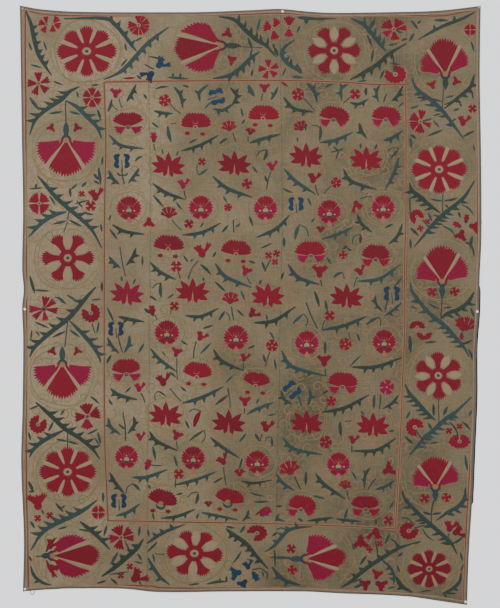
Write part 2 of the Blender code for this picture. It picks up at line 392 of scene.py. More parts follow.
@dataclass(frozen=True)
class WovenCotton:
    """Hand-woven cotton: matt, with thick and thin yarns that catch the light unevenly."""

    name: str
    base: str
    shade: str
    stain: str
    yarn_mm: float = 2.2  # drawn coarser than the real 0.7 mm, so that it shows
    roughness: float = 0.92

    def build(self) -> bpy.types.Material:
        """Makes the material: blotches, slubs along both yarns, and a bump of crossing yarns."""
        made = new_material(self.name)
        blotch = noise(made, 210.0, 0.36, 0.66)
        colour = blend_colours(made, blotch, self.base, self.shade)
        stain = noise(made, (34.0, 60.0, 46.0), 0.55, 0.78)
        faint = add_node(made, "ShaderNodeMath", {"operation": "MULTIPLY", 1: 0.55}, {0: stain})
        colour = blend_colours(made, faint.outputs[0], colour, self.stain)
        colour, yarns = draw_yarns(made, colour, self.yarn_mm, 42.0, 1.12)
        gloss = {"Roughness": self.roughness, "Sheen Weight": 0.05, "Specular IOR Level": 0.1}
        return close_material(made, gloss, {"Base Color": colour}, (0.5, 0.35, yarns))


@dataclass(frozen=True)
class GroundCotton:
    """The embroidered ground: undyed cotton, darker to the right and in clouds by painted shade.

    Over the weave lie faint couched scrolls in ochre and olive, close to the cotton's own colour,
    and the red dye has bled a little where the cloth was wet.
    """

    name: str = "aged_undyed_cotton"
    light: str = "#7D7059"
    # light is the cotton's own colour; dark is the same cotton under painted shade.
    dark: str = "#494435"
    ochre: str = "#765C35"
    olive: str = "#5E5C3F"
    blush: str = "#7C5C48"

    def build(self) -> bpy.types.Material:
        """Makes the material from a painted shade map across the cloth, mottling, and woven yarns."""
        made = new_material(self.name)
        # Painted shade: the cotton is mixed towards dark to the right and in broad clouds.
        where = add_node(made, "ShaderNodeTexCoord")
        split = add_node(made, "ShaderNodeSeparateXYZ", {}, {"Vector": where.outputs["Object"]})
        across = add_node(made, "ShaderNodeMapRange",
            {"From Min": -0.55, "From Max": 0.25,
            "interpolation_type": "SMOOTHSTEP"}, {"Value": split.outputs[0]})
        cloud = noise(made, 330.0, 0.38, 0.64)
        painted_shade_map = add_node(made, "ShaderNodeMath", {"operation": "MULTIPLY", 1: 0.45}, {0: cloud})
        painted_shade_map = add_node(made, "ShaderNodeMath", {"operation": "MULTIPLY_ADD", 1: 0.5},
            {0: across.outputs[0], 2: painted_shade_map.outputs[0]})
        colour = blend_colours(made, painted_shade_map.outputs[0], self.light, self.dark)
        for pitch, low, high, amount, hue in (
            ((16.0, 40.0, 13.0), 0.52, 0.72, 0.42, self.ochre),
            ((12.0, 40.0, 18.0), 0.53, 0.72, 0.42, self.olive),
            ((38.0, 40.0, 30.0), 0.56, 0.76, 0.38, self.blush),
        ):
            patch = noise(made, pitch, low, high, 2.0)
            faint = add_node(made, "ShaderNodeMath", {"operation": "MULTIPLY", 1: amount},
                {0: patch})
            colour = blend_colours(made, faint.outputs[0], colour, hue)
        colour, yarns = draw_yarns(made, colour, 2.4, 36.0, 1.14)
        gloss = {"Roughness": 0.93, "Sheen Weight": 0.04, "Specular IOR Level": 0.08}
        return close_material(made, gloss, {"Base Color": colour}, (0.55, 0.4, yarns))


@dataclass(frozen=True)
class CouchedSilk:
    """Floss silk laid in rows and tied down: soft gloss, rows of couching across each shape."""

    name: str
    base: str
    deep: str
    pale: str
    gloss: float = 0.5

    def build(self) -> bpy.types.Material:
        """Makes the material: a tone for each motif, worn patches, and ridges across the threads.

        The ridges follow the patch's UV map, which is in metres; rows are 1.6 mm apart.
        """
        made = new_material(self.name)
        tone = add_node(made, "ShaderNodeAttribute", {"attribute_name": "tone"})
        colour = blend_colours(made, tone.outputs["Fac"], self.base, self.deep)
        worn = noise(made, (9.0, 9.0, 7.0), 0.5, 0.8)
        faint = add_node(made, "ShaderNodeMath", {"operation": "MULTIPLY", 1: 0.3}, {0: worn})
        colour = blend_colours(made, faint.outputs[0], colour, self.pale)
        rows = add_node(made, "ShaderNodeUVMap", {"uv_map": "threads"})
        ridge = add_node(made, "ShaderNodeTexWave", {"Scale": 100.0, "Distortion": 1.2,
            "Detail": 1.0, "bands_direction": "X"}, {"Vector": rows.outputs[0]})
        strand = add_node(made, "ShaderNodeTexWave", {"Scale": 180.0, "Distortion": 2.0,
            "Detail": 1.0, "bands_direction": "Y"}, {"Vector": rows.outputs[0]})
        height = add_node(made, "ShaderNodeMath", {"operation": "ADD"},
            {0: ridge.outputs[1], 1: strand.outputs[1]})
        gloss = {"Roughness": self.gloss, "Sheen Weight": 0.03, "Specular IOR Level": 0.1}
        bump = (0.45, 0.25, height.outputs[0])
        return close_material(made, gloss, {"Base Color": colour}, bump)


@dataclass(frozen=True)
class FoldedTape:
    """Woven cotton tape with a pinkish face; its outer edge is its own grey plus painted shade."""

    name: str = "folded_cotton_tape"
    face: str = "#77604F"
    pale: str = "#816C59"
    # The outer edge's own grey, darkened further as painted shade.
    edge_grey_and_shade: str = "#534E43"

    def build(self) -> bpy.types.Material:
        """Makes the material: an attribute lays the edge's grey and painted shade; yarns cross it."""
        made = new_material(self.name)
        colour = blend_colours(made, noise(made, 60.0), self.face, self.pale)
        # Darkens the outer edge: partly the tape's own grey, partly painted shade.
        edge_grey_and_shade = add_node(made, "ShaderNodeAttribute", {"attribute_name": "edge_grey_and_shade"})
        colour = blend_colours(made, edge_grey_and_shade.outputs["Fac"], colour, self.edge_grey_and_shade)
        yarns = noise(made, (3.0, 3.0, 3.0), 0.3, 0.7, 2.0)
        fine = add_node(made, "ShaderNodeMapRange", {"To Min": 0.86, "To Max": 1.12},
            {"Value": yarns})
        value = add_node(made, "ShaderNodeHueSaturation", {},
            {"Value": fine.outputs[0], "Color": colour})
        gloss = {"Roughness": 0.9, "Sheen Weight": 0.05, "Specular IOR Level": 0.1}
        return close_material(made, gloss, {"Base Color": value.outputs[0]}, (0.5, 0.3, yarns))


@dataclass(frozen=True)
class PinFinish:
    """A pin's moulded enamel or plain drawn steel, with fine scuffs that spread the shine."""

    name: str
    base: str
    shade: str
    metallic: float
    roughness: float

    def build(self) -> bpy.types.Material:
        """Makes the material: faint specks of handling and a roughness that varies with them."""
        made = new_material(self.name)
        specks = noise(made, 1.6, 0.4, 0.75)
        faint = add_node(made, "ShaderNodeMath", {"operation": "MULTIPLY", 1: 0.35}, {0: specks})
        colour = blend_colours(made, faint.outputs[0], self.base, self.shade)
        rough = add_node(made, "ShaderNodeMapRange", {"To Min": self.roughness,
            "To Max": self.roughness + 0.2}, {"Value": specks})
        links = {"Base Color": colour, "Roughness": rough.outputs[0]}
        return close_material(made, {"Metallic": self.metallic}, links)


class Silk(Enum):
    """The embroidery's threads, each with its finish and the height its stitches stand up."""

    BLEED = CouchedSilk("rose_dye_bleed", "#80564A", "#7A4D41", "#84614F", 0.9)
    ROSE = CouchedSilk("faded_rose_silk", "#7B5E48", "#73533E", "#836954")
    CREAM = CouchedSilk("cream_silk", "#7C6D53", "#73644A", "#887C65")
    OLIVE = CouchedSilk("faded_olive_silk", "#665F45", "#5C573B", "#6F684E")
    OCHRE = CouchedSilk("ochre_silk", "#715C3B", "#6A5337", "#7A6748")
    RUST = CouchedSilk("madder_brown_silk", "#5C2E22", "#50251C", "#6A3F31")
    CRIMSON = CouchedSilk("crimson_silk", "#680F1E", "#590F1B", "#732836")
    MAGENTA = CouchedSilk("lac_pink_silk", "#6D0D2B", "#640F20", "#7A2440")
    TEAL = CouchedSilk("indigo_green_silk", "#2B3937", "#252D24", "#46534C")
    NAVY = CouchedSilk("indigo_silk", "#16303F", "#1C2236", "#2F4658")

    def height(self) -> float:
        """How high the stitches stand, in millimetres; later threads lie over earlier ones."""
        return {"BLEED": 0.06, "OLIVE": 0.3, "OCHRE": 0.3, "RUST": 0.7}.get(self.name, 0.8)


SINK = 0.05  # millimetres that a patch's edge goes into the cloth


@dataclass
class Patch:
    """A grid of stitching: chart places, height in millimetres, and thread coordinates."""

    spots: np.ndarray
    rise: np.ndarray
    threads: np.ndarray
    tone: float


def through(points: list[tuple[float, float]], count: int) -> np.ndarray:
    """A smooth line through a few chart points, by Catmull-Rom pieces.

    Args:
        points: the chart points.
        count: how many points to return.

    Returns:
        An array of chart points.
    """
    p = np.asarray(points, float)
    if len(p) == 2:
        return p[0] + (p[1] - p[0]) * np.linspace(0, 1, count)[:, None]
    ends = np.vstack([2 * p[0] - p[1], p, 2 * p[-1] - p[-2]])
    t = np.linspace(0, len(p) - 1, count)
    k = np.minimum(t.astype(int), len(p) - 2)
    u = (t - k)[:, None]
    a, b, c, d = ends[k], ends[k + 1], ends[k + 2], ends[k + 3]
    return 0.5 * (2 * b + (c - a) * u + (2 * a - 5 * b + 4 * c - d) * u**2
        + (3 * b - a - 3 * c + d) * u**3)


def ribbon(
    points: list[tuple[float, float]],
    widths: tuple[float, ...],
    height: float,
    tone: float,
    count: int = 14,
    columns: int = 5,
    lift: float = 0.0,
) -> Patch:
    """A band carried along a line, rounded across like a low arch.

    Each row lies square to the line, as wide as the widths say there, and rises as the square root
    of one less the square of its share from the middle.

    Args:
        points: chart points of the line.
        widths: widths spread evenly along it, in chart steps.
        height: its height in millimetres.
        tone: the motif's tone.
        count: rows along the line.
        columns: points across it.
        lift: a height added under it, in millimetres.

    Returns:
        The patch.
    """
    line = through(points, count)
    run = np.gradient(line, axis=0)
    run = run / np.maximum(np.linalg.norm(run, axis=1, keepdims=True), 1e-6)
    square = np.stack([-run[:, 1], run[:, 0]], axis=1)
    half = np.interp(np.linspace(0, 1, count), np.linspace(0, 1, len(widths)), widths) / 2
    share = np.linspace(-1, 1, columns)
    spots = line[:, None] + square[:, None] * (half[:, None] * share[None, :])[..., None]
    arch = np.sqrt(np.maximum(0.0, 1 - share**2))[None, :] * np.ones(count)[:, None]
    rise = height * arch - SINK + lift * (arch > 0)
    length = np.concatenate([[0], np.cumsum(np.linalg.norm(np.diff(line, axis=0), axis=1))])
    threads = np.stack([np.broadcast_to(length[:, None], rise.shape), half[:, None]
        * share[None, :]], axis=-1)
    return Patch(spots, rise, threads, tone)


def disc(
    x: float,
    y: float,
    reach_x: float,
    reach_y: float,
    height: float,
    tone: float,
    teeth: int = 0,
    tooth: float = 0.0,
    cells: int = 8,
    turn: float = 0.0,
    lift: float = 0.0,
) -> Patch:
    """A round patch with a toothed rim, flat-topped with rounded edges.

    A square grid is drawn out to a circle, so that it has no pole. The rim's radius falls by tooth
    between the points of the teeth.

    Args:
        x: chart column of its middle.
        y: chart row of its middle.
        reach_x: radius across.
        reach_y: radius down.
        height: height in millimetres.
        tone: the motif's tone.
        teeth: how many teeth round the rim.
        tooth: depth of a tooth, as a share of the radius.
        cells: half the number of cells along each side of the square.
        turn: degrees by which the teeth are turned.
        lift: a height added under it, in millimetres.

    Returns:
        The patch.
    """
    side = np.linspace(-1, 1, 2 * cells + 1)
    s, t = np.meshgrid(side, side)
    ring = np.maximum(np.abs(s), np.abs(t))
    along = np.where(np.abs(s) >= np.abs(t), t, s) / np.maximum(ring, 1e-9) * math.pi / 4
    angle = np.where(np.abs(s) >= np.abs(t), np.where(s >= 0, along, math.pi - along),
        np.where(t >= 0, math.pi / 2 - along, along - math.pi / 2))
    wave = np.abs(((angle + math.radians(turn)) * teeth / (2 * math.pi)) % 1 * 2 - 1)
    rim = 1 - tooth * (1 - wave)
    radius = ring * (1 - ring**2 * (1 - rim))
    spots = np.stack([x + reach_x * radius * np.cos(angle), y + reach_y * radius * np.sin(angle)],
        axis=-1)
    rise = (height + lift) * np.sqrt(np.maximum(0.0, 1 - ring**6)) - SINK
    threads = np.stack([ring * reach_x, angle * 2.0], axis=-1)
    return Patch(spots, rise, threads, tone)


def lobe(
    x: float,
    y: float,
    turn: float,
    angles: tuple[float, float],
    start: float,
    reaches: tuple[float, ...],
    height: float,
    tone: float,
    teeth: int = 6,
    tooth: float = 2.0,
    pinch: float = 0.0,
    columns: int = 37,
    rows: int = 9,
    lift: float = 0.0,
) -> Patch:
    """A fan-shaped petal with a toothed end.

    Its columns are rays from a point, between two angles, and each ray ends at a reach blended from
    the given ones less a saw tooth. The pinch draws the two sides in, most at half the reach.

    Args:
        x: chart column of the point that the rays leave.
        y: chart row of that point.
        turn: the petal's direction in degrees, 0 to the right and 90 down.
        angles: the rays' first and last angle from that direction.
        start: how far from the point the petal starts.
        reaches: reaches spread evenly from the first ray to the last.
        height: height in millimetres.
        tone: the motif's tone.
        teeth: how many teeth its end has.
        tooth: a tooth's depth in chart steps.
        pinch: how much the sides are drawn in, as a share of the half angle.
        columns: rays.
        rows: points along a ray.
        lift: a height added under it, in millimetres.

    Returns:
        The patch.
    """
    t = np.linspace(0, 1, columns)[None, :]
    s = np.linspace(0, 1, rows)[:, None]
    reach = np.interp(t[0], np.linspace(0, 1, len(reaches)), reaches)[None, :]
    saw = np.abs((t * teeth) % 1 * 2 - 1)
    uneven = 0.7 + 0.6 * ((np.floor(t * teeth) * 0.618034) % 1)
    reach = reach - tooth * saw * uneven
    middle, half = sum(angles) / 2, (angles[1] - angles[0]) / 2
    spread = half * (2 * t - 1) * (1 - pinch * np.sin(math.pi * s))
    angle = np.radians(turn + middle + spread)
    radius = start + (reach - start) * s
    spots = np.stack([x + radius * np.cos(angle), y + radius * np.sin(angle)], axis=-1)
    edge = np.maximum(np.abs(2 * t - 1), np.abs(2 * s - 1))
    rise = (height + lift) * np.sqrt(np.maximum(0.0, 1 - edge**8)) - SINK
    threads = np.stack([radius + 0 * t, np.radians(spread) * radius], axis=-1)
    return Patch(spots, rise, threads, tone)


class Bloom(Enum):
    """The small flowers, each as petals: angle from its top, length, width and start, in sizes."""

    TULIP = ((0, 1.0, 1.0, -0.75), (-40, 1.35, 0.62, -0.5), (40, 1.35, 0.62, -0.5))
    LILY = ((-34, 1.0, 1.0, -0.7), (26, 1.5, 0.62, -0.7), (-4, 0.55, 1.2, -0.75))
    SPRAY = ((0, 1.1, 0.62, -0.7), (-34, 1.1, 0.58, -0.7), (34, 1.1, 0.58, -0.7),
        (-72, 0.8, 0.5, -0.6), (72, 0.8, 0.5, -0.6))
    CROSS = ((45, 1.2, 1.3, 0.0), (135, 1.2, 1.3, 0.0), (225, 1.2, 1.3, 0.0), (315, 1.2, 1.3, 0.0))
    STARLET = ((0, 1.15, 1.05, 0.0), (72, 1.1, 1.05, 0.0), (144, 1.1, 1.05, 0.0),
        (216, 1.1, 1.05, 0.0), (288, 1.1, 1.05, 0.0))
    BUD = ((0, 1.2, 1.0, -1.0), (-24, 0.6, 0.6, -0.9), (24, 0.6, 0.6, -0.9))
    HEART = ((-34, 0.9, 1.1, -0.6), (34, 0.9, 1.1, -0.6))


class SmallFlower(NamedTuple):
    """A small flower: kind, chart place of its middle, half its height, its turn and its silk."""

    kind: Bloom
    x: float
    y: float
    size: float
    turn: float
    silk: Silk = Silk.CRIMSON


class Leaf(NamedTuple):
    """A leaf or stem: chart places of its two ends, its width, and how far it bows to one side."""

    x0: float
    y0: float
    x1: float
    y1: float
    width: float
    bow: float = 0.0


class Branch(NamedTuple):
    """A thorned branch: three chart places, width, and how many thorns on its right (+) or left."""

    x0: float
    y0: float
    x1: float
    y1: float
    x2: float
    y2: float
    width: float
    thorns: int
    reach: float = 3.8


class StarFlower(NamedTuple):
    """A nine-petalled flower, by the chart place of the notch between its lowest petals."""

    x: float
    y: float
    silk: Silk


class RoundFlower(NamedTuple):
    """A round toothed flower by its middle and its two radii."""

    x: float
    y: float
    reach_x: float
    reach_y: float


class Eye(Enum):
    """What sits under a half carnation's cap."""

    RING = "ring"
    CURLS = "curls"
    CALYX = "calyx"


class HalfCarnation(NamedTuple):
    """A half carnation: its two tips, the row of its top, and its eye."""

    x0: float
    y0: float
    x1: float
    y1: float
    top: float
    eye_x: float
    eye_y: float
    eye: Eye


class PetalFlower(NamedTuple):
    """A border flower of toothed petals: middle, radii, silk, each petal's angle and half its span."""

    x: float
    y: float
    reach_x: float
    reach_y: float
    silk: Silk
    petals: tuple[tuple[float, float], ...]


FOUR = ((-135, 40), (-45, 38), (45, 40), (135, 40))
SIX = ((-90, 26), (-30, 24), (30, 26), (90, 26), (150, 24), (210, 26))
FIVE = ((-92, 22), (-22, 19), (42, 21), (112, 20), (184, 22))
PETAL_FLOWERS = tuple(
    PetalFlower(*row)
    for row in (
        (53, 24, 8.6, 9, Silk.CRIMSON, ((-50, 30), (20, 30), (90, 24))),
        (47, 25, 9, 9, Silk.CRIMSON, ((200, 26), (262, 20), (120, 24))),
        (139, 26, 11.5, 11, Silk.CRIMSON, (*FIVE, (77, 10), (148, 12), (-57, 12), (10, 10))),
        (39, 84, 12, 12.5, Silk.CRIMSON, FIVE), (92.5, 98, 10, 10.5, Silk.CRIMSON, SIX),
        (273, 29, 10.5, 12, Silk.CRIMSON, ((-62, 26), (-160, 38), (78, 28))),
        (289, 27.5, 10.5, 12, Silk.CRIMSON, ((-88, 36),)),
        (289, 27.5, 10, 10.5, Silk.MAGENTA, ((92, 32),)),
        (268.5, 69.5, 11, 10.5, Silk.CRIMSON, FIVE),
        (393.5, 30, 14, 11.8, Silk.CRIMSON, ((-142, 34), (-58, 30), (-8, 14), (84, 26))),
        (393.5, 30, 13, 10.5, Silk.MAGENTA, ((150, 20),)), (470, 30, 6.4, 6.2, Silk.CRIMSON, FOUR),
        (420, 122, 12, 12.5, Silk.CRIMSON, ((-148, 28), (-80, 22), (155, 26), (95, 28), (22, 15))),
        (39.5, 203.5, 11, 11.5, Silk.CRIMSON, FOUR),
        (44, 309, 15, 13.5, Silk.CRIMSON, ((-80, 20), (-38, 15), (8, 15), (138, 15))),
        (44, 309, 16, 12.5, Silk.MAGENTA, ((82, 17), (180, 16))),
        (88, 416, 13.5, 14, Silk.CRIMSON, ((-98, 34), (-18, 32), (176, 24))),
        (87, 417, 11, 13, Silk.MAGENTA, ((88, 34),)), (98.5, 512, 7.2, 7.4, Silk.CRIMSON, FOUR),
        (121.5, 537, 13.5, 13, Silk.CRIMSON, ((-112, 33), (-40, 22), (4, 16), (104, 28))),
        (121.5, 537, 13, 11, Silk.MAGENTA, ((172, 24),)),
    )
)


class Rosette(NamedTuple):
    """A border rosette: middle, radii, petals, the turn of its first bar, and a bar's width."""

    x: float
    y: float
    reach_x: float
    reach_y: float
    petals: int
    turn: float
    bar: float


class Fan(NamedTuple):
    """A border carnation seen from the side.

    Its rays leave a point in a direction; then come its reach straight ahead, and on each side the
    angle and reach of the bar beside its middle petal and of its outer end, and last how far behind
    the point its cup begins.
    """

    x: float
    y: float
    turn: float
    ahead: float
    bar_a: float
    bar_reach_a: float
    end_a: float
    end_reach_a: float
    bar_b: float
    bar_reach_b: float
    end_b: float
    end_reach_b: float
    cup: float


STARS = tuple(
    StarFlower(*row)
    for row in (
        (168.5, 171, Silk.CRIMSON), (234.5, 169.5, Silk.CRIMSON), (306, 161.7, Silk.CRIMSON),
        (366, 165, Silk.CRIMSON), (127.2, 299, Silk.MAGENTA), (192.8, 296.7, Silk.CRIMSON),
        (267.8, 301, Silk.CRIMSON), (346.5, 302.2, Silk.CRIMSON), (165.9, 420, Silk.CRIMSON),
        (228.7, 427.8, Silk.CRIMSON), (306.5, 427.8, Silk.CRIMSON), (372.8, 430.5, Silk.CRIMSON),
    )
)
# A star's petals: chart steps from its notch to each tip.
STAR_TIPS = (
    (0, -18.5),
    (-12.3, -16),
    (12.8, -14.5),
    (-17, -8),
    (17, -5.5),
    (-15.5, 1),
    (15, 3.2),
    (-4.5, 5.5),
    (4, 6.5),
)

ROUNDS = tuple(
    RoundFlower(*row)
    for row in (
        (129, 208.3, 13, 12.2), (201, 207.8, 12.7, 12.2), (265.5, 208.3, 12.6, 12.4),
        (329, 212, 12.6, 12.2), (382.8, 207.5, 12.3, 12.5), (167, 332.5, 13, 12.5),
        (236, 337.5, 13, 12.6), (306.7, 342.8, 12.8, 12.4), (383.9, 341.7, 12.5, 12.3),
        (126.7, 456.7, 12.2, 11.8), (193.3, 457.8, 12.4, 12), (257.2, 461.7, 12.8, 11.7),
        (338.3, 463.9, 12.4, 12.1),
    )
)

HALVES = tuple(
    HalfCarnation(*row)
    for row in (
        (113.3, 121.7, 143.3, 120.6, 113, 128.3, 127.2, Eye.RING),
        (181.7, 126.5, 211, 126.2, 113.3, 195.5, 128, Eye.CURLS),
        (249, 119, 279, 119, 105.5, 263, 119.5, Eye.CURLS),
        (319.5, 116, 349, 121.7, 106.7, 333.3, 120, Eye.RING),
        (371.7, 117.5, 400, 121.5, 107, 385.5, 120, Eye.RING),
        (153.9, 246.7, 183.9, 248.9, 235.3, 168.3, 250, Eye.CURLS),
        (221, 251, 251, 254, 240.5, 236, 255, Eye.CURLS),
        (295, 253, 325, 253, 241.5, 310.8, 255.8, Eye.RING),
        (361.7, 256, 388.9, 258, 245, 375.5, 259.5, Eye.RING),
        (112.2, 370, 140.5, 369, 359, 126.7, 374, Eye.RING),
        (183.3, 371.7, 211.7, 375.5, 362.2, 196.7, 377.8, Eye.CURLS),
        (243, 379, 270, 382.8, 372.2, 255.5, 386.5, Eye.CURLS),
        (327.8, 383, 357.2, 385, 372.2, 342.2, 386.7, Eye.RING),
        (148.3, 497.2, 176.7, 504.5, 489.2, 161, 504.5, Eye.CALYX),
        (215.5, 496, 243.9, 502.2, 488.3, 227.8, 503, Eye.CALYX),
        (288.3, 505, 315.5, 509.5, 495, 300.9, 508.9, Eye.RING),
        (350.5, 504, 378.9, 505, 495.3, 365.5, 508.9, Eye.RING),
    )
)

FIELD_FLOWERS = tuple(
    SmallFlower(*row)
    for row in (
        (Bloom.TULIP, 116, 94.5, 5.6, 5, Silk.MAGENTA), (Bloom.STARLET, 165, 101, 6.0, 20),
        (Bloom.BUD, 154, 138, 5.2, 0, Silk.MAGENTA), (Bloom.SPRAY, 229, 127, 6.6, -5),
        (Bloom.HEART, 250.5, 132, 5.2, 10), (Bloom.CROSS, 202, 162, 3.8, 5),
        (Bloom.LILY, 183.5, 185, 6.0, 12, Silk.MAGENTA), (Bloom.SPRAY, 169, 213.5, 7.2, 0),
        (Bloom.TULIP, 149, 221.5, 5.6, 180), (Bloom.CROSS, 189, 224, 4.4, 10),
        (Bloom.CROSS, 247, 184, 4.8, 30), (Bloom.STARLET, 228, 207.5, 4.0, 15),
        (Bloom.TULIP, 264.5, 89, 5.2, 0, Silk.MAGENTA), (Bloom.STARLET, 298, 95, 6.2, 10),
        (Bloom.CROSS, 355, 94.5, 5.0, 0), (Bloom.SPRAY, 300.5, 127, 6.2, -20),
        (Bloom.LILY, 272, 167, 5.6, 8, Silk.MAGENTA), (Bloom.LILY, 313.5, 179, 6.6, 20),
        (Bloom.STARLET, 336, 183, 5.2, -8), (Bloom.LILY, 356, 205, 6.4, 170),
        (Bloom.HEART, 320.5, 229.5, 4.8, 5), (Bloom.CROSS, 176.5, 266.5, 5.2, 0),
        (Bloom.LILY, 202.5, 252, 8.4, 8), (Bloom.TULIP, 245.5, 272, 5.6, 25, Silk.MAGENTA),
        (Bloom.SPRAY, 230.5, 299, 7.4, 5), (Bloom.BUD, 152.5, 311, 5.4, -5),
        (Bloom.CROSS, 174.5, 306, 4.4, 0), (Bloom.LILY, 201, 337, 6.0, 40),
        (Bloom.TULIP, 176.5, 353, 5.4, 15, Silk.MAGENTA), (Bloom.LILY, 244.5, 358, 5.2, 25),
        (Bloom.LILY, 163.5, 381, 7.4, 5), (Bloom.LILY, 139.5, 388, 5.6, 15, Silk.MAGENTA),
        (Bloom.CROSS, 268.5, 255.5, 3.4, 0), (Bloom.CROSS, 276.5, 253.5, 3.4, 20),
        (Bloom.CROSS, 275, 262, 3.2, 0, Silk.MAGENTA), (Bloom.CROSS, 343, 255, 3.8, 45),
        (Bloom.TULIP, 319.5, 272.5, 7.4, 3), (Bloom.LILY, 360, 271.5, 5.6, -5),
        (Bloom.LILY, 252.5, 314, 6.0, 60), (Bloom.CROSS, 329.5, 315.5, 4.8, 0),
        (Bloom.STARLET, 345, 344, 6.2, 90), (Bloom.TULIP, 324, 361.5, 6.8, 0),
        (Bloom.STARLET, 272, 345.5, 6.0, 0), (Bloom.STARLET, 386.5, 387, 7.4, 15, Silk.MAGENTA),
        (Bloom.TULIP, 245, 402, 5.8, 0, Silk.MAGENTA),
        (Bloom.LILY, 140.5, 437, 5.0, 10, Silk.MAGENTA),
        (Bloom.TULIP, 176.5, 436, 5.6, 25, Silk.MAGENTA),
        (Bloom.BUD, 148, 464.5, 5.6, 20, Silk.MAGENTA), (Bloom.CROSS, 179, 473.5, 4.8, 0),
        (Bloom.LILY, 223, 460.5, 6.2, -15), (Bloom.HEART, 239.5, 472.5, 5.6, 0),
        (Bloom.HEART, 208.5, 503.5, 4.2, 0), (Bloom.LILY, 266.5, 427, 7.0, 20),
        (Bloom.STARLET, 331, 401, 5.0, 0), (Bloom.STARLET, 325.5, 442, 6.2, 20),
        (Bloom.LILY, 353, 440, 5.4, 20), (Bloom.SPRAY, 289.5, 468.5, 9.0, -15),
        (Bloom.TULIP, 387, 470, 7.0, 60), (Bloom.SPRAY, 345, 485, 5.6, 10),
        (Bloom.CROSS, 388, 520, 4.6, 10, Silk.MAGENTA),
        (Bloom.BUD, 265, 512, 6.6, 60, Silk.MAGENTA),
    )
)

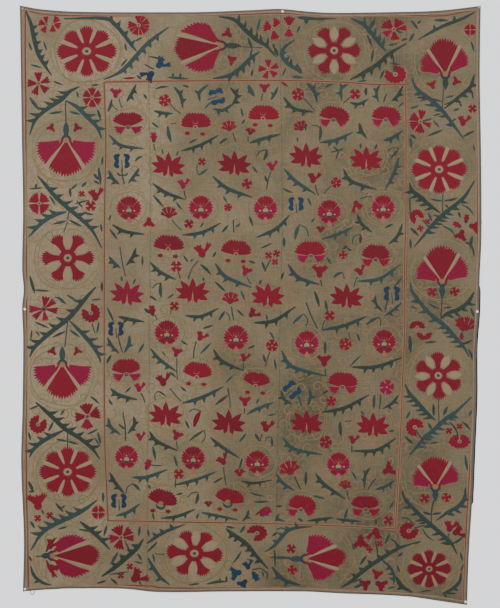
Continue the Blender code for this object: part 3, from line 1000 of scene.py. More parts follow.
FIELD_LEAVES = tuple(
    Leaf(*row)
    for row in (
        (108.3, 112, 111.8, 100, 3.6, 0.8), (144, 94.5, 147.2, 99.8, 2.6),
        (155.5, 89.5, 169, 87.3, 2.6, -0.8), (183, 85.8, 189.5, 87.8, 2.2),
        (152, 123, 158.8, 127.8, 2.4), (167.8, 126.5, 171.4, 143, 4.2, 0.6),
        (189.5, 143.5, 197.2, 139, 2.2), (162, 149.5, 163.2, 154.8, 2.0),
        (178.6, 151.6, 176.2, 156.3, 2.2), (219, 144, 227.5, 138.3, 2.8),
        (241, 108.5, 243.2, 117.5, 2.6), (242, 124, 245, 119.6, 2.0),
        (135.2, 161.3, 143, 156.2, 2.6, -0.8), (199, 175.5, 208, 168.8, 2.6),
        (153.5, 195.5, 163.8, 207.5, 3.0), (176, 202.5, 182.3, 210, 2.4),
        (223.6, 196.5, 226.8, 203, 2.4), (222, 232.5, 228.5, 225, 2.8),
        (235.5, 227.6, 240.6, 223.2, 2.2), (249.3, 216.5, 253, 226.5, 2.8),
        (109, 220.5, 111.3, 214.5, 2.2), (200.3, 227.4, 203.8, 222.5, 2.2),
        (110, 229.5, 117.5, 239.5, 2.6), (325, 88.3, 333.2, 84.3, 2.4, -0.8),
        (366, 88.3, 366.2, 96, 3.6, 0.6), (386.2, 94, 383, 103.5, 1.8),
        (398.3, 107.3, 403.4, 103, 2.4), (305.2, 123, 305.6, 131.5, 2.2),
        (320.2, 126.5, 319.2, 141.5, 3.6, -0.8), (297.2, 137.5, 297.6, 142.5, 2.2),
        (263.6, 160.5, 267, 149.8, 3.8, 0.8), (252.3, 166.5, 257.4, 173.4, 2.6),
        (264.6, 176, 268.2, 184, 2.8), (330.5, 152.4, 344.5, 148.4, 1.8, 0.5),
        (338.5, 151, 335.6, 160, 1.8), (333.6, 147.5, 339, 151.5, 1.6),
        (360, 143.5, 360.6, 149, 2.2), (374.6, 149.6, 377, 144, 2.4),
        (390.6, 158.6, 398.6, 149, 2.8), (282.8, 188.6, 292.8, 192.8, 2.6, 0.6),
        (307.8, 198.5, 311.2, 206, 2.4), (384.6, 228, 393, 223.8, 2.6),
        (295, 239.5, 299.4, 224.5, 4.0, -0.8), (311.2, 222.5, 314.4, 218.4, 2.2),
        (142.6, 256.5, 142.6, 266, 2.6), (200.5, 264.5, 211, 275, 3.2, -0.8),
        (183.6, 255.6, 188.4, 262.2, 2.4), (190.2, 261.4, 193.6, 259.2, 2.2),
        (212.8, 257, 216.4, 251.6, 2.6), (188.5, 275, 189.2, 279.6, 2.2),
        (121.4, 276.6, 122.2, 281.6, 2.6), (203.5, 277.4, 203.6, 281.6, 2.2),
        (133.2, 284, 135.8, 278.6, 2.4), (215, 281.6, 225.5, 291.6, 2.8),
        (161, 282.6, 161.5, 298, 3.8, 0.8), (240.8, 290.6, 244.8, 300.2, 2.4),
        (150, 296, 157, 300.4, 2.6), (167.8, 298.4, 174, 294, 2.2),
        (144.4, 308.6, 150.5, 313.4, 3.4), (107.3, 307.6, 114.4, 322.6, 2.6),
        (138.8, 352.6, 144.4, 343, 2.8), (237, 309.6, 244, 316.4, 2.2),
        (203, 328.4, 213.4, 325.2, 2.6), (200.6, 353.4, 211.4, 342.6, 2.8),
        (181.2, 340.6, 187.4, 344.8, 2.2), (162.8, 351.6, 165.2, 355.6, 1.8),
        (106.8, 363, 111.4, 354.6, 3.2), (169.6, 371.6, 176.4, 377.4, 2.4),
        (226, 382.4, 233.4, 375, 2.2), (219, 320, 225, 311, 3.2), (284, 237.5, 284, 247.5, 3.2),
        (260.6, 248.4, 272.6, 243.2, 2.0), (261.8, 261.5, 265.4, 271.5, 2.8),
        (249, 261.2, 255.5, 263.2, 2.8), (342.6, 249.4, 347.4, 245.2, 2.6),
        (346.6, 247.6, 351.4, 251, 2.4), (326.8, 257.6, 330.6, 264, 2.4),
        (360, 243.6, 360.6, 234.6, 3.2), (333.6, 277.4, 342, 272.2, 3.2, -0.8),
        (281.2, 279.4, 283.4, 272, 2.6), (259.3, 284.4, 261.2, 280, 2.6),
        (393.6, 287.4, 402.4, 276.6, 2.4), (314.3, 291.4, 319.2, 307, 3.6, -0.4),
        (325, 300.4, 327.2, 311.4, 3.2), (292.6, 323.4, 303.4, 313.6, 3.2),
        (266.4, 314.6, 267.2, 320.4, 2.2), (366.2, 324.4, 379, 316.8, 3.4, -0.6),
        (356.8, 333.4, 359.8, 341.6, 2.4), (325, 353.6, 325, 341, 3.6),
        (269.8, 331.6, 274.4, 339.6, 2.4), (263.2, 354.4, 265.4, 362.6, 2.6),
        (274.2, 359, 276.2, 369.6, 2.4), (248.2, 348.4, 255.4, 345.2, 2.4),
        (349.6, 366.4, 361.4, 355, 1.8, -0.4), (306, 302.6, 317.2, 328.4, 1.6, 0.6),
        (125.6, 392.4, 131.4, 386.6, 2.2), (108.8, 399.6, 112.8, 405, 2.6),
        (118.6, 424, 125.4, 429.4, 2.6), (157.6, 390.8, 166.4, 396.4, 2.0, -0.6),
        (180.8, 386.6, 186.4, 391.4, 2.4), (215.6, 404.4, 228.4, 394.6, 3.2),
        (227.8, 387.6, 229.2, 395.4, 2.0), (246.6, 414.4, 256, 410.6, 2.2, -0.6),
        (185.6, 420.6, 189.2, 428.4, 2.6), (189.6, 440.4, 204.4, 429.8, 3.0, -0.4),
        (239.6, 441.4, 246.4, 433, 2.8), (153, 446.4, 155.8, 459.6, 3.2),
        (174.3, 455.4, 177.6, 466.6, 2.8), (239.4, 468.4, 242.2, 457.4, 2.6),
        (132.6, 483.2, 140.4, 490.6, 3.2, -0.6), (148.8, 484.4, 150.2, 489, 2.6),
        (213.6, 482.4, 223.4, 477, 2.4), (152.8, 512.4, 154.2, 519.4, 2.4),
        (176.6, 494.2, 183, 492.8, 2.2), (196, 503.4, 198.2, 492.4, 3.6, 0.5),
        (196.8, 518.4, 198.4, 512.6, 2.6), (249.6, 491.8, 264.4, 495.8, 1.8, 0.6),
        (256.3, 403.4, 258.8, 398, 2.2), (268.2, 415.2, 275.6, 413.8, 2.2),
        (255.2, 433.4, 259.4, 441, 3.2), (272.3, 446.4, 271.4, 437.4, 3.0),
        (322.2, 393.4, 328.4, 390.2, 2.6), (374, 394.4, 373.5, 409, 3.2),
        (360.6, 410.4, 364, 415.6, 2.4), (340, 421.4, 341, 436.6, 3.8, 0.5),
        (388.6, 431.2, 394, 430.2, 2.6), (306, 471.4, 305.4, 485.4, 3.0),
        (351.8, 471.4, 356.4, 479.6, 2.2), (313.2, 495.2, 324.4, 498.4, 2.8),
        (276.2, 506.2, 282.4, 505.2, 2.4), (297.6, 517.6, 303, 521, 2.6),
        (344.2, 519.4, 347.6, 507.4, 3.2), (376.2, 524, 375.2, 518.4, 2.8),
        (388.8, 508.4, 392.8, 500.6, 2.2, 0.6), (254.4, 501.6, 268.6, 501, 2.2),
    )
)

# Leaf-shaped petals and dark red leaves.
RED_LEAVES = tuple(
    Leaf(*row)
    for row in (
        (46.5, 551.5, 57, 537, 4.2, -1.6), (52, 545, 58.5, 542.5, 2.6),
        (46.5, 560, 57.5, 577, 4.2, 1.6), (51, 566, 57.5, 567.5, 2.6), (281.2, 82.2, 288, 87, 2.8),
        (194.2, 426.6, 200.8, 410.6, 5.6, -1.0), (255.2, 514.6, 268, 505.2, 2.8),
        (124, 79.2, 135.6, 78.2, 2.6), (131.5, 376.7, 140.5, 375.5, 4.5),
    )
)

FIELD_BRANCHES = tuple(
    Branch(*row)
    for row in (
        (127, 102, 131.5, 95, 136.4, 85, 3.4, 2, 4.2),
        (174.3, 87.5, 181, 96.5, 183, 108.6, 3.4, -2, 4.6),
        (208.3, 85, 199.5, 93, 200, 102, 3.2, 1, 5.0),
        (230.3, 88, 236.6, 96, 232, 106, 3.6, -3, 4.6),
        (232.5, 104.5, 223, 110.6, 213.2, 109.2, 3.4, -2, 4.2),
        (248.4, 85.4, 250.6, 91, 254.4, 96.6, 4.4, 1, 3.0),
        (154.2, 111.2, 163, 113.6, 173, 114.2, 3.2, 2, 4.4),
        (109.6, 135.5, 121, 145.6, 143.5, 149, 3.4, 3),
        (181.5, 151.4, 200, 145.6, 218.6, 135.6, 3.2, 3, 4.6),
        (108.8, 170.6, 113, 178.8, 119.5, 184.4, 3.6, 2, 4.6),
        (139.4, 168.6, 134.4, 176, 128.6, 183.4, 3.4, -2, 4.6),
        (152.8, 183.6, 166, 193, 185.5, 199.8, 3.6, 3, 4.4),
        (212.6, 176.6, 228, 189, 252.5, 197.5, 3.8, 3, 4.6),
        (112.4, 224.8, 125, 231.6, 144.5, 234.4, 3.4, 2, 4.4),
        (182.6, 235.2, 202, 232.6, 220.6, 223.2, 3.4, 3, 4.4),
        (278, 87.4, 274.4, 94.6, 270.6, 100.4, 3.0, 1),
        (283.3, 97.4, 294, 109, 313.4, 112.4, 3.6, 3, 4.2),
        (306.6, 83.4, 313.6, 91, 317.2, 102.4, 3.6, -2, 4.8),
        (347.4, 84.6, 341, 89.4, 341.6, 101.4, 3.2, 2, 4.4),
        (349.6, 103, 358.4, 104.4, 368.4, 99.4, 3.0, 2, 4.0),
        (379.4, 85.6, 376, 93, 378, 102.4, 3.0, 2, 4.0),
        (402.4, 86.6, 397, 96.6, 391, 101.6, 3.2, -2),
        (249.6, 143.4, 262, 139.4, 280.4, 134.4, 3.6, 2, 5.0),
        (319.6, 142.8, 335, 140.6, 352.6, 132.6, 3.6, 3, 4.8),
        (359, 123.4, 361, 131, 366.4, 138.6, 3.6, 1, 4.8),
        (383.4, 140.8, 392, 138.2, 402, 131.4, 3.6, 2, 4.6),
        (284.2, 169.4, 296, 182, 315.4, 194.4, 3.8, 3, 4.6),
        (343.2, 169.4, 351, 181.4, 376.4, 190, 3.8, 3, 4.8),
        (398.6, 157.4, 394, 172.4, 384.6, 190.4, 3.2, -3, 4.6),
        (357, 214.4, 361.4, 224, 371.6, 232.4, 3.4, 2, 4.2),
        (256.6, 237.6, 276, 229, 289.4, 215.4, 3.6, 3, 4.6),
        (321.6, 239.4, 339, 233.8, 352.6, 227.4, 3.2, 2, 4.8),
        (402, 224, 397.4, 236, 388.4, 244.4, 3.2, -2, 4.2),
        (109.2, 256.6, 113.6, 262.6, 120.6, 268, 3.6, 2, 4.2),
        (136, 248.4, 133, 257, 126.6, 265.4, 3.6, -2, 4.6),
        (150.6, 262.6, 160, 272, 176, 279.6, 3.6, 3, 4.6),
        (215.2, 263.6, 226, 277, 251.4, 287.4, 3.8, 3, 4.8),
        (118.4, 316.6, 129, 319.2, 144.6, 321.8, 3.6, 2, 4.4),
        (107.6, 337.4, 112, 346, 119.4, 353.4, 3.4, 2),
        (129.6, 335.4, 129, 344, 124.6, 352.6, 3.6, -1, 4.2),
        (185.6, 315.6, 201, 316.4, 218.6, 308.2, 3.4, 3, 4.2),
        (150.6, 348.4, 160, 359.6, 176.6, 371.4, 3.4, 3, 4.4),
        (213.6, 349.4, 222, 361, 243, 370.4, 3.6, 3, 4.4),
        (288, 264.6, 298, 277.4, 319, 284.6, 3.8, 3, 4.8),
        (357, 281.4, 379, 278.8, 400.4, 264.6, 3.4, 3, 4.8),
        (375, 295.4, 375.4, 303, 382.4, 311.8, 2.8, 2, 3.4),
        (401.4, 302.6, 393, 310, 384.4, 316, 2.6, -2, 4.0),
        (253.6, 322.8, 274, 320.6, 295.4, 306.6, 3.6, 3, 5.0),
        (321.6, 330.2, 345, 325.2, 366.6, 316.2, 3.6, 3, 5.0),
        (281.2, 350.4, 292, 366.4, 326, 376, 3.8, 4, 4.8),
        (351.6, 367, 376, 366.6, 401.6, 357.4, 3.6, 4, 5.0),
        (110.6, 388.4, 119, 395, 137.6, 399.6, 3.8, 3, 4.6),
        (108.2, 418.4, 111, 427, 120.6, 434.4, 3.6, 2, 4.2),
        (134, 416.4, 134.4, 425, 128, 433.4, 3.6, -2, 3.4),
        (182.6, 403.2, 202, 397.2, 223.6, 386.6, 3.6, 3, 4.8),
        (149.6, 431.4, 157, 441, 177.6, 450.4, 3.6, 3, 4.4),
        (210.6, 437.4, 221, 446, 240, 458, 3.4, 2, 4.2),
        (132.6, 477, 146, 477, 167.6, 469.2, 3.6, 3, 4.4),
        (110, 472.4, 115, 482, 124.4, 493.4, 3.8, 2, 4.4),
        (174.6, 484.8, 195, 479.6, 216.6, 471.4, 3.2, 3, 4.6),
        (116, 515.6, 128, 512, 140.6, 503.2, 3.4, 2, 4.8),
        (161.4, 517.8, 178, 515.6, 195.6, 508.6, 3.2, 2, 4.4),
        (201.4, 512, 216, 515, 238, 519.4, 3.0, 3, 4.0),
        (240.6, 480.6, 253, 482.6, 272, 479.6, 2.6, 2, 4.0),
        (248.6, 509.6, 247, 515.6, 242.6, 520.4, 3.0, -1),
        (249.6, 411.4, 262, 406.6, 273.6, 402, 3.2, 2, 4.2),
        (281, 390.4, 284, 399, 292, 404, 3.4, 2, 4.0),
        (309.4, 389.6, 310.4, 396, 307.8, 406, 3.2, -1, 4.8),
        (321.4, 412.2, 345, 407.4, 368.6, 394.6, 3.6, 4, 5.0),
        (398.2, 394.6, 392, 403, 382.6, 408.4, 3.0, -2, 4.4),
        (282.6, 437.4, 294, 448.6, 322, 454.4, 3.6, 4, 4.6),
        (351.6, 450.6, 376, 449.8, 395.6, 438, 3.4, 4, 5.0),
        (369.6, 467.4, 365, 475, 364, 488.4, 3.0, 2, 3.4),
        (276.6, 473.4, 282, 482, 294.6, 490.6, 3.4, 2, 4.6),
        (315.6, 473.4, 324, 484, 345, 498.6, 3.6, 3, 4.4),
        (375.4, 489.2, 385, 486, 394.6, 480, 3.0, 2, 4.0),
        (307.4, 520.2, 320, 519, 333.6, 517.2, 3.0, 2, 3.6),
        (335.6, 518.4, 347, 520, 361.6, 520.8, 2.8, 2, 3.2),
        (278.8, 513, 277, 518, 284.6, 520.6, 2.6, 1, 2.6),
    )
)

# Thin stems, most of them in dark thread: ends, width and bow.
STEMS = tuple(
    Leaf(*row)
    for row in (
        (119.5, 99, 122.6, 108.4, 1.1, 0.6), (112, 100, 117.6, 110.4, 1.0, 2.2),
        (170, 104, 181, 114, 1.1, 0.8), (214.5, 100.5, 205, 108.5, 1.4, 0.4),
        (154, 144, 155.4, 151.4, 1.2, 0.3), (171, 124, 176.4, 123, 0.9, 0.5),
        (233, 133, 236, 142, 1.1, 0.4), (248, 137, 248, 142, 1.1),
        (122, 169.5, 124.5, 184.4, 1.5, 0.4), (117, 173, 122.5, 175.6, 2.2, 0.8),
        (128.3, 173, 122.8, 175.8, 2.2, -0.8), (197.4, 164.5, 199, 175, 1.0, 1.2),
        (184.5, 191, 186, 199, 1.2, 0.3), (172, 220, 181.6, 230.4, 1.1, 0.4),
        (233.5, 220, 234, 232.6, 1.2, 0.2), (262.5, 94, 261.4, 101, 1.1),
        (303, 98, 314.4, 111.4, 1.2, -0.5), (350, 97.6, 343.2, 103.4, 1.2),
        (312, 125.6, 320.4, 130, 1.0, -2.0), (256.4, 156.6, 266.4, 150, 1.0, -2.0),
        (270.5, 172, 266.6, 190, 1.2, 0.6), (387.4, 151, 398.2, 149, 1.0, -2.0),
        (315, 185, 318.4, 195.6, 1.2, 0.5), (331, 186.4, 324, 193.6, 1.2, 0.5),
        (360, 199, 371, 196.4, 1.1, -0.4), (299.4, 224.6, 308.4, 237, 1.0, -3.0),
        (120, 247, 125.8, 276.4, 1.2, 0.6), (178.5, 272, 180.4, 278.4, 1.2),
        (198, 261, 189.4, 276, 1.2, 1.4), (247, 277, 250.8, 284, 1.2, 0.3),
        (231.6, 306.6, 233.8, 320, 1.3, 0.3), (226, 312, 229.8, 320.6, 1.0, -1.2),
        (152.6, 288.4, 160.6, 283.4, 1.0, -1.6), (155, 315, 157.2, 319.4, 1.1),
        (171, 309, 170.8, 314, 1.1), (118, 335, 122.8, 352.6, 1.3, 0.4),
        (196.4, 341, 193.6, 358, 1.2, 0.8), (177, 358, 177.4, 379.6, 1.1, 0.3),
        (243.6, 363, 243, 371, 1.3), (170, 388, 181, 401, 1.2, 0.3),
        (141, 393, 145, 402.6, 1.2, -0.6), (270.6, 260, 264.6, 271.6, 1.3, 0.3),
        (352, 243.6, 360.2, 234.4, 1.0, -3.4), (320.4, 280, 321.6, 286.4, 1.4),
        (357, 277, 353.8, 287, 1.2, 0.4), (341.6, 272.6, 344, 279, 1.0, -0.8),
        (388.4, 297, 384.4, 312.6, 1.8, 0.3), (325, 320, 321.8, 330.4, 1.1, 0.4),
        (303.6, 314, 305.8, 326.4, 1.0, -3.0), (379, 317.4, 380, 326, 1.0, -0.8),
        (350, 339, 348.4, 332.6, 1.1), (325, 369, 325.6, 376, 1.4),
        (269.6, 352, 265.4, 366.6, 1.2, 0.4), (123, 412, 125.6, 440.4, 1.3, -1.0),
        (155.6, 399.6, 158, 391, 1.0, -2.0), (228.6, 390, 230.2, 407.6, 1.0, -0.3),
        (244.6, 408, 244.4, 413, 1.2), (189, 411.4, 200, 411, 1.0, -2.4),
        (176.5, 441, 177.6, 449, 1.2), (204.2, 430, 201.6, 442.6, 1.0, -2.4),
        (152, 465, 161.6, 465.4, 1.2), (176, 478, 175.4, 487, 1.2),
        (223.5, 467, 226.2, 485, 1.2, 0.3), (126, 493.4, 133, 483.4, 1.1, -2.4),
        (187.6, 496.6, 198.2, 491.6, 1.0, -1.6), (262, 434, 260.2, 441, 1.2, 0.2),
        (265, 441, 271.8, 437, 1.0, -2.6), (297, 394, 301.4, 406, 1.4, -0.5),
        (327.6, 405, 324.6, 411, 1.1), (380, 394.6, 379, 409, 1.2, -0.4),
        (344.6, 421.4, 351.4, 420.4, 1.0), (328, 447, 330.4, 451, 1.1),
        (351.6, 445, 351.6, 452, 1.2), (294.6, 476, 300.6, 489, 1.5, 0.3),
        (375.6, 478, 367.6, 489, 1.3, 0.3), (346.6, 490, 348.8, 499, 1.2, 0.3),
    )
)

BORDER_FLOWERS = tuple(
    SmallFlower(*row)
    for row in (
        (Bloom.TULIP, 38, 503, 9.5, -8), (Bloom.LILY, 137, 577, 9, 60),
        (Bloom.TULIP, 52, 127, 4.4, 200), (Bloom.TULIP, 77, 127, 4.4, 160),
        (Bloom.TULIP, 53, 350, 4.4, 200), (Bloom.TULIP, 77, 350, 4.4, 160),
        (Bloom.TULIP, 228.5, 34.5, 5.4, -50), (Bloom.TULIP, 233, 59.5, 5.2, -110),
        (Bloom.TULIP, 432, 86, 4.6, -20), (Bloom.TULIP, 455, 82.5, 4.6, 40),
        (Bloom.LILY, 161, 65, 7.4, 60, Silk.NAVY), (Bloom.LILY, 150, 75.5, 7.2, -120, Silk.NAVY),
        (Bloom.LILY, 96, 196, 7.4, 10), (Bloom.LILY, 463, 122, 6.6, 20),
        (Bloom.CROSS, 472, 109, 4, 0), (Bloom.CROSS, 82, 194, 3, 0), (Bloom.CROSS, 91, 206, 5, 0),
        (Bloom.CROSS, 50, 515, 3.4, 0), (Bloom.CROSS, 38, 518, 3.4, 0),
        (Bloom.CROSS, 130, 566, 3.2, 0), (Bloom.CROSS, 121, 575, 3.2, 0),
        (Bloom.TULIP, 237, 572, 6.6, -100, Silk.NAVY), (Bloom.LILY, 248, 565, 5.4, 0, Silk.NAVY),
        (Bloom.BUD, 255, 575, 5.4, 150, Silk.NAVY), (Bloom.TULIP, 244, 582, 5.6, -140, Silk.NAVY),
        (Bloom.CROSS, 291, 548, 4.4, 10), (Bloom.CROSS, 292, 569, 4.4, 40),
        (Bloom.TULIP, 360.5, 540, 7.6, 180), (Bloom.LILY, 375, 532, 7.4, 200),
        (Bloom.CROSS, 379.5, 543, 3, 0), (Bloom.CROSS, 369.5, 549, 3, 45),
        (Bloom.TULIP, 376.5, 575, 5.6, 15), (Bloom.TULIP, 366.5, 583, 6.0, -120),
        (Bloom.TULIP, 379.5, 584, 6.6, 120), (Bloom.BUD, 461, 325, 7.6, -20),
        (Bloom.SPRAY, 466, 325, 8.6, 10), (Bloom.BUD, 461.5, 336, 3.6, 180),
        (Bloom.CROSS, 448.5, 430.5, 3, 10), (Bloom.CROSS, 459, 426, 2.8, 0),
        (Bloom.LILY, 450, 527, 7, 25), (Bloom.LILY, 457, 532, 7, 80),
        (Bloom.CROSS, 427, 222, 2.8, 0), (Bloom.CROSS, 420, 228.5, 3, 30),
        (Bloom.BUD, 466, 219, 4.4, 10), (Bloom.TULIP, 473, 226.5, 6.4, 100),
        (Bloom.TULIP, 461, 234, 6.2, 200), (Bloom.BUD, 457, 225, 4.6, -60, Silk.MAGENTA),
        (Bloom.CROSS, 432, 292, 4.6, 10), (Bloom.CROSS, 454.5, 291.5, 4.6, 30),
        (Bloom.CROSS, 424.5, 498, 4.6, 10), (Bloom.CROSS, 446, 497, 4.4, 35),
        (Bloom.LILY, 51.5, 545, 6.4, 40), (Bloom.LILY, 53, 568, 6.4, 140),
    )
)


class Iris(NamedTuple):
    """A blue flower of two facing crescents: middle, half its height, turn and silk."""

    x: float
    y: float
    size: float
    turn: float
    silk: Silk


IRISES = (
    Iris(217, 97, 6.6, 75, Silk.NAVY),
    Iris(122, 161, 6.6, 0, Silk.NAVY),
    Iris(296, 204, 6.2, 0, Silk.NAVY),
    Iris(116, 328.6, 6.4, 0, Silk.NAVY),
    Iris(391.5, 293.5, 6.6, 0, Silk.NAVY),
    Iris(292, 389.5, 6.6, 50, Silk.NAVY),
    Iris(119, 500.5, 6.4, 0, Silk.NAVY),
)


class OpenFlower(NamedTuple):
    """A border flower shaped as a thick crescent: middle, radii, and the way that it opens."""

    x: float
    y: float
    reach_x: float
    reach_y: float
    opening: float
    gap: float
    silk: Silk


OPEN_FLOWERS = tuple(
    OpenFlower(*row)
    for row in (
        (91, 313, 10, 10, -120, 60, Silk.CRIMSON), (38.5, 424, 9.6, 9.6, -60, 40, Silk.CRIMSON),
        (395, 75, 11.8, 9.6, -125, 56, Silk.CRIMSON), (257, 532.5, 11, 8.6, 150, 60, Silk.CRIMSON),
        (416.5, 217, 7.6, 8, 60, 90, Silk.CRIMSON), (417, 327, 8.4, 6.6, 90, 150, Silk.CRIMSON),
        (424, 334, 8.4, 6.4, -90, 150, Silk.CRIMSON), (414.5, 427, 9.6, 9.6, 40, 70, Silk.CRIMSON),
        (459, 441, 11.6, 7.4, -90, 20, Silk.MAGENTA),
        (408.5, 530.5, 10.4, 9.2, -30, 30, Silk.CRIMSON),
    )
)

ROSETTES = tuple(
    Rosette(*row)
    for row in (
        (87, 51.8, 30.6, 26, 8, -113, 3.6), (68, 471.5, 29, 25.5, 8, -113, 3.4),
        (438.7, 169.7, 28.5, 25, 8, -113, 3.6), (429, 568.6, 22.8, 19.8, 8, -113, 3.2),
        (334, 51, 27, 26, 6, -90, 8.6), (68, 258, 27, 26, 6, -90, 8.6),
        (438, 375.5, 25.4, 24.4, 6, -122, 7.4), (194.6, 552.6, 29, 24.4, 6, -85, 8.6),
    )
)

FANS = tuple(
    Fan(*row)
    for row in (
        (66.5, 140, 90, 38, -32, 34, -86, 30, 36, 34, 86, 30, 18),
        (62.5, 364, 90, 36, -35, 31, -86, 30, 35, 31, 86, 30, 18),
        (222, 46, 180, 50, -24, 45, -69, 26, 14, 46, 59, 26, 19),
        (445, 75, -90, 38, -35, 31, -84, 25, 27, 33, 68, 26, 15),
        (52, 555.5, 0, 50, -20, 41, -66, 20, 17, 43, 63, 22, 11),
        (442, 282, -90, 38, -36, 31, -84, 27, 31, 33, 79, 27, 16),
        (435, 487, -90, 32.5, -38, 28, -86, 23, 31, 30, 76, 25, 14),
        (305, 558, 0, 43, -22, 34, -82, 24, 18, 35, 68, 24, 16),
    )
)


class Vine(NamedTuple):
    """A long thorned branch of the border: chart places, thorns (+ right, - left) and width."""

    points: tuple[tuple[float, float], ...]
    thorns: int
    width: float = 4.2
    reach: float = 5.0
    sweep: float = -0.1


VINES = tuple(
    Vine(*row)
    for row in (
        (((26, 11), (31, 24), (34, 38), (38, 53), (44, 64), (52, 76)), -6),
        (((64, 19), (104, 19), (115, 25), (124, 35), (132, 46), (137, 52)), -4),
        (((104, 80), (118, 74), (128, 66), (137, 56), (147, 45), (158, 36), (169, 28)), 6),
        (((80, 87), (70, 92), (62, 100), (48, 109), (36, 120), (30, 135)), 7, 4.2, 7.5, 0.9),
        (((66, 101), (78, 108), (88, 118), (97, 127), (102, 139)), -4, 4.2, 7.5, 0.9),
        (((219, 17), (234, 20), (246, 31), (256, 40), (266, 46), (276, 57)), -6, 4.2, 6.5, -0.6),
        (((213, 79), (229, 76), (241, 68), (251, 58), (260, 52)), 5, 4.2, 5.5, -0.5),
        (((295, 40), (284, 48), (282, 56), (288, 64), (297, 70), (301, 74)), -3),
        (((297, 17), (306, 19), (336, 19)), 1, 2.4),
        (((351, 19), (363, 25), (372, 35), (380, 45), (386, 52)), -5, 4.2, 6.5, -0.6),
        (((350, 80), (362, 74), (377, 65), (388, 55), (406, 44)), 5, 4.2, 5.5, -0.5),
        (((475, 12), (462, 19), (446, 25), (432, 32), (418, 40)), 2, 3.4),
        (((411, 78), (417, 90), (430, 100), (441, 110), (452, 124), (463, 139)), 6, 4.2, 6.0, -0.6),
        (((474, 75), (470, 87), (460, 96), (444, 109)), -4, 3.8, 5.0, -0.4),
        (((38, 176), (45, 184), (55, 196), (68, 208), (80, 218), (92, 230),
            (102, 248)), -7, 4.4, 8.0, 0.75),
        (((67, 212), (55, 215), (42, 223), (29, 237)), 4, 4.4, 7.0, 1.1),
        (((96, 287), (86, 298), (70, 317), (50, 333), (35, 347), (30, 357)), 7, 4.6, 8.0, 0.75),
        (((70, 321), (80, 331), (90, 342), (97, 352), (101, 362)), -4, 4.2, 7.5, 0.8),
        (((36, 402), (44, 409), (55, 419), (66, 429), (80, 438), (93, 449),
            (100, 459)), -7, 4.4, 7.5, 0.8),
        (((64, 430), (54, 435), (43, 441), (34, 449), (30, 457)), 4, 4.2, 7.0, 1.0),
        (((97, 500), (85, 509), (70, 517), (55, 524), (42, 533), (31, 550)), 7, 4.6, 7.5, 0.9),
        (((80, 521), (90, 529), (98, 536), (110, 549)), -3, 4.2, 7.0, 0.75),
        (((31, 566), (34, 575), (42, 582), (52, 585)), 1, 3.2),
        (((102, 576), (115, 567), (128, 556), (137, 548), (144, 538)), -4, 4.6, 5.5, -0.3),
        (((147, 543), (157, 536), (168, 530), (185, 524)), -3, 3.4),
        (((148, 557), (153, 566), (160, 576), (170, 584)), 2, 3.6),
        (((226, 528), (232, 533), (246, 543), (257, 556), (268, 568)), 6),
        (((272, 566), (278, 574), (286, 580), (300, 584)), 2),
        (((265, 551), (274, 545), (281, 537), (288, 530), (298, 527), (312, 526)), -4, 3.6),
        (((341, 587), (352, 580), (366, 568), (381, 558), (398, 548), (413, 543)), -6),
        (((381, 559), (390, 567), (394, 576), (393, 584)), 3, 2.8),
        (((409, 183), (412, 191), (421, 198), (430, 206), (440, 213)), 5, 4.2, 6.5, -0.6),
        (((474, 181), (463, 198), (446, 212), (437, 220), (428, 230), (414, 247)), -8, 4.2, 6.5, -0.6),
        (((410, 283), (413, 293), (428, 312), (446, 327), (454, 336), (463, 346),
            (469, 357)), 8, 4.2, 6.5, -0.6),
        (((474, 292), (468, 302), (459, 309), (448, 313), (440, 319)), -4, 4.2, 6.5, -0.6),
        (((405, 384), (409, 393), (416, 401), (423, 409), (430, 416), (435, 420)), 6, 4.2, 6.5, -0.6),
        (((471, 397), (456, 411), (446, 418), (433, 430), (424, 437), (417, 446),
            (409, 455)), -9, 4.2, 6.5, -0.6),
        (((402, 490), (405, 499), (420, 515), (429, 523), (445, 537), (451, 543),
            (457, 554)), 9, 4.2, 6.5, -0.6),
        (((465, 487), (464, 498), (458, 506), (449, 511), (436, 520)), -4, 4.2, 6.5, -0.6),
        (((396, 576), (401, 585), (412, 592)), 1),
        (((461, 572), (459, 582), (450, 590), (442, 593)), -1, 3.2),
    )
)

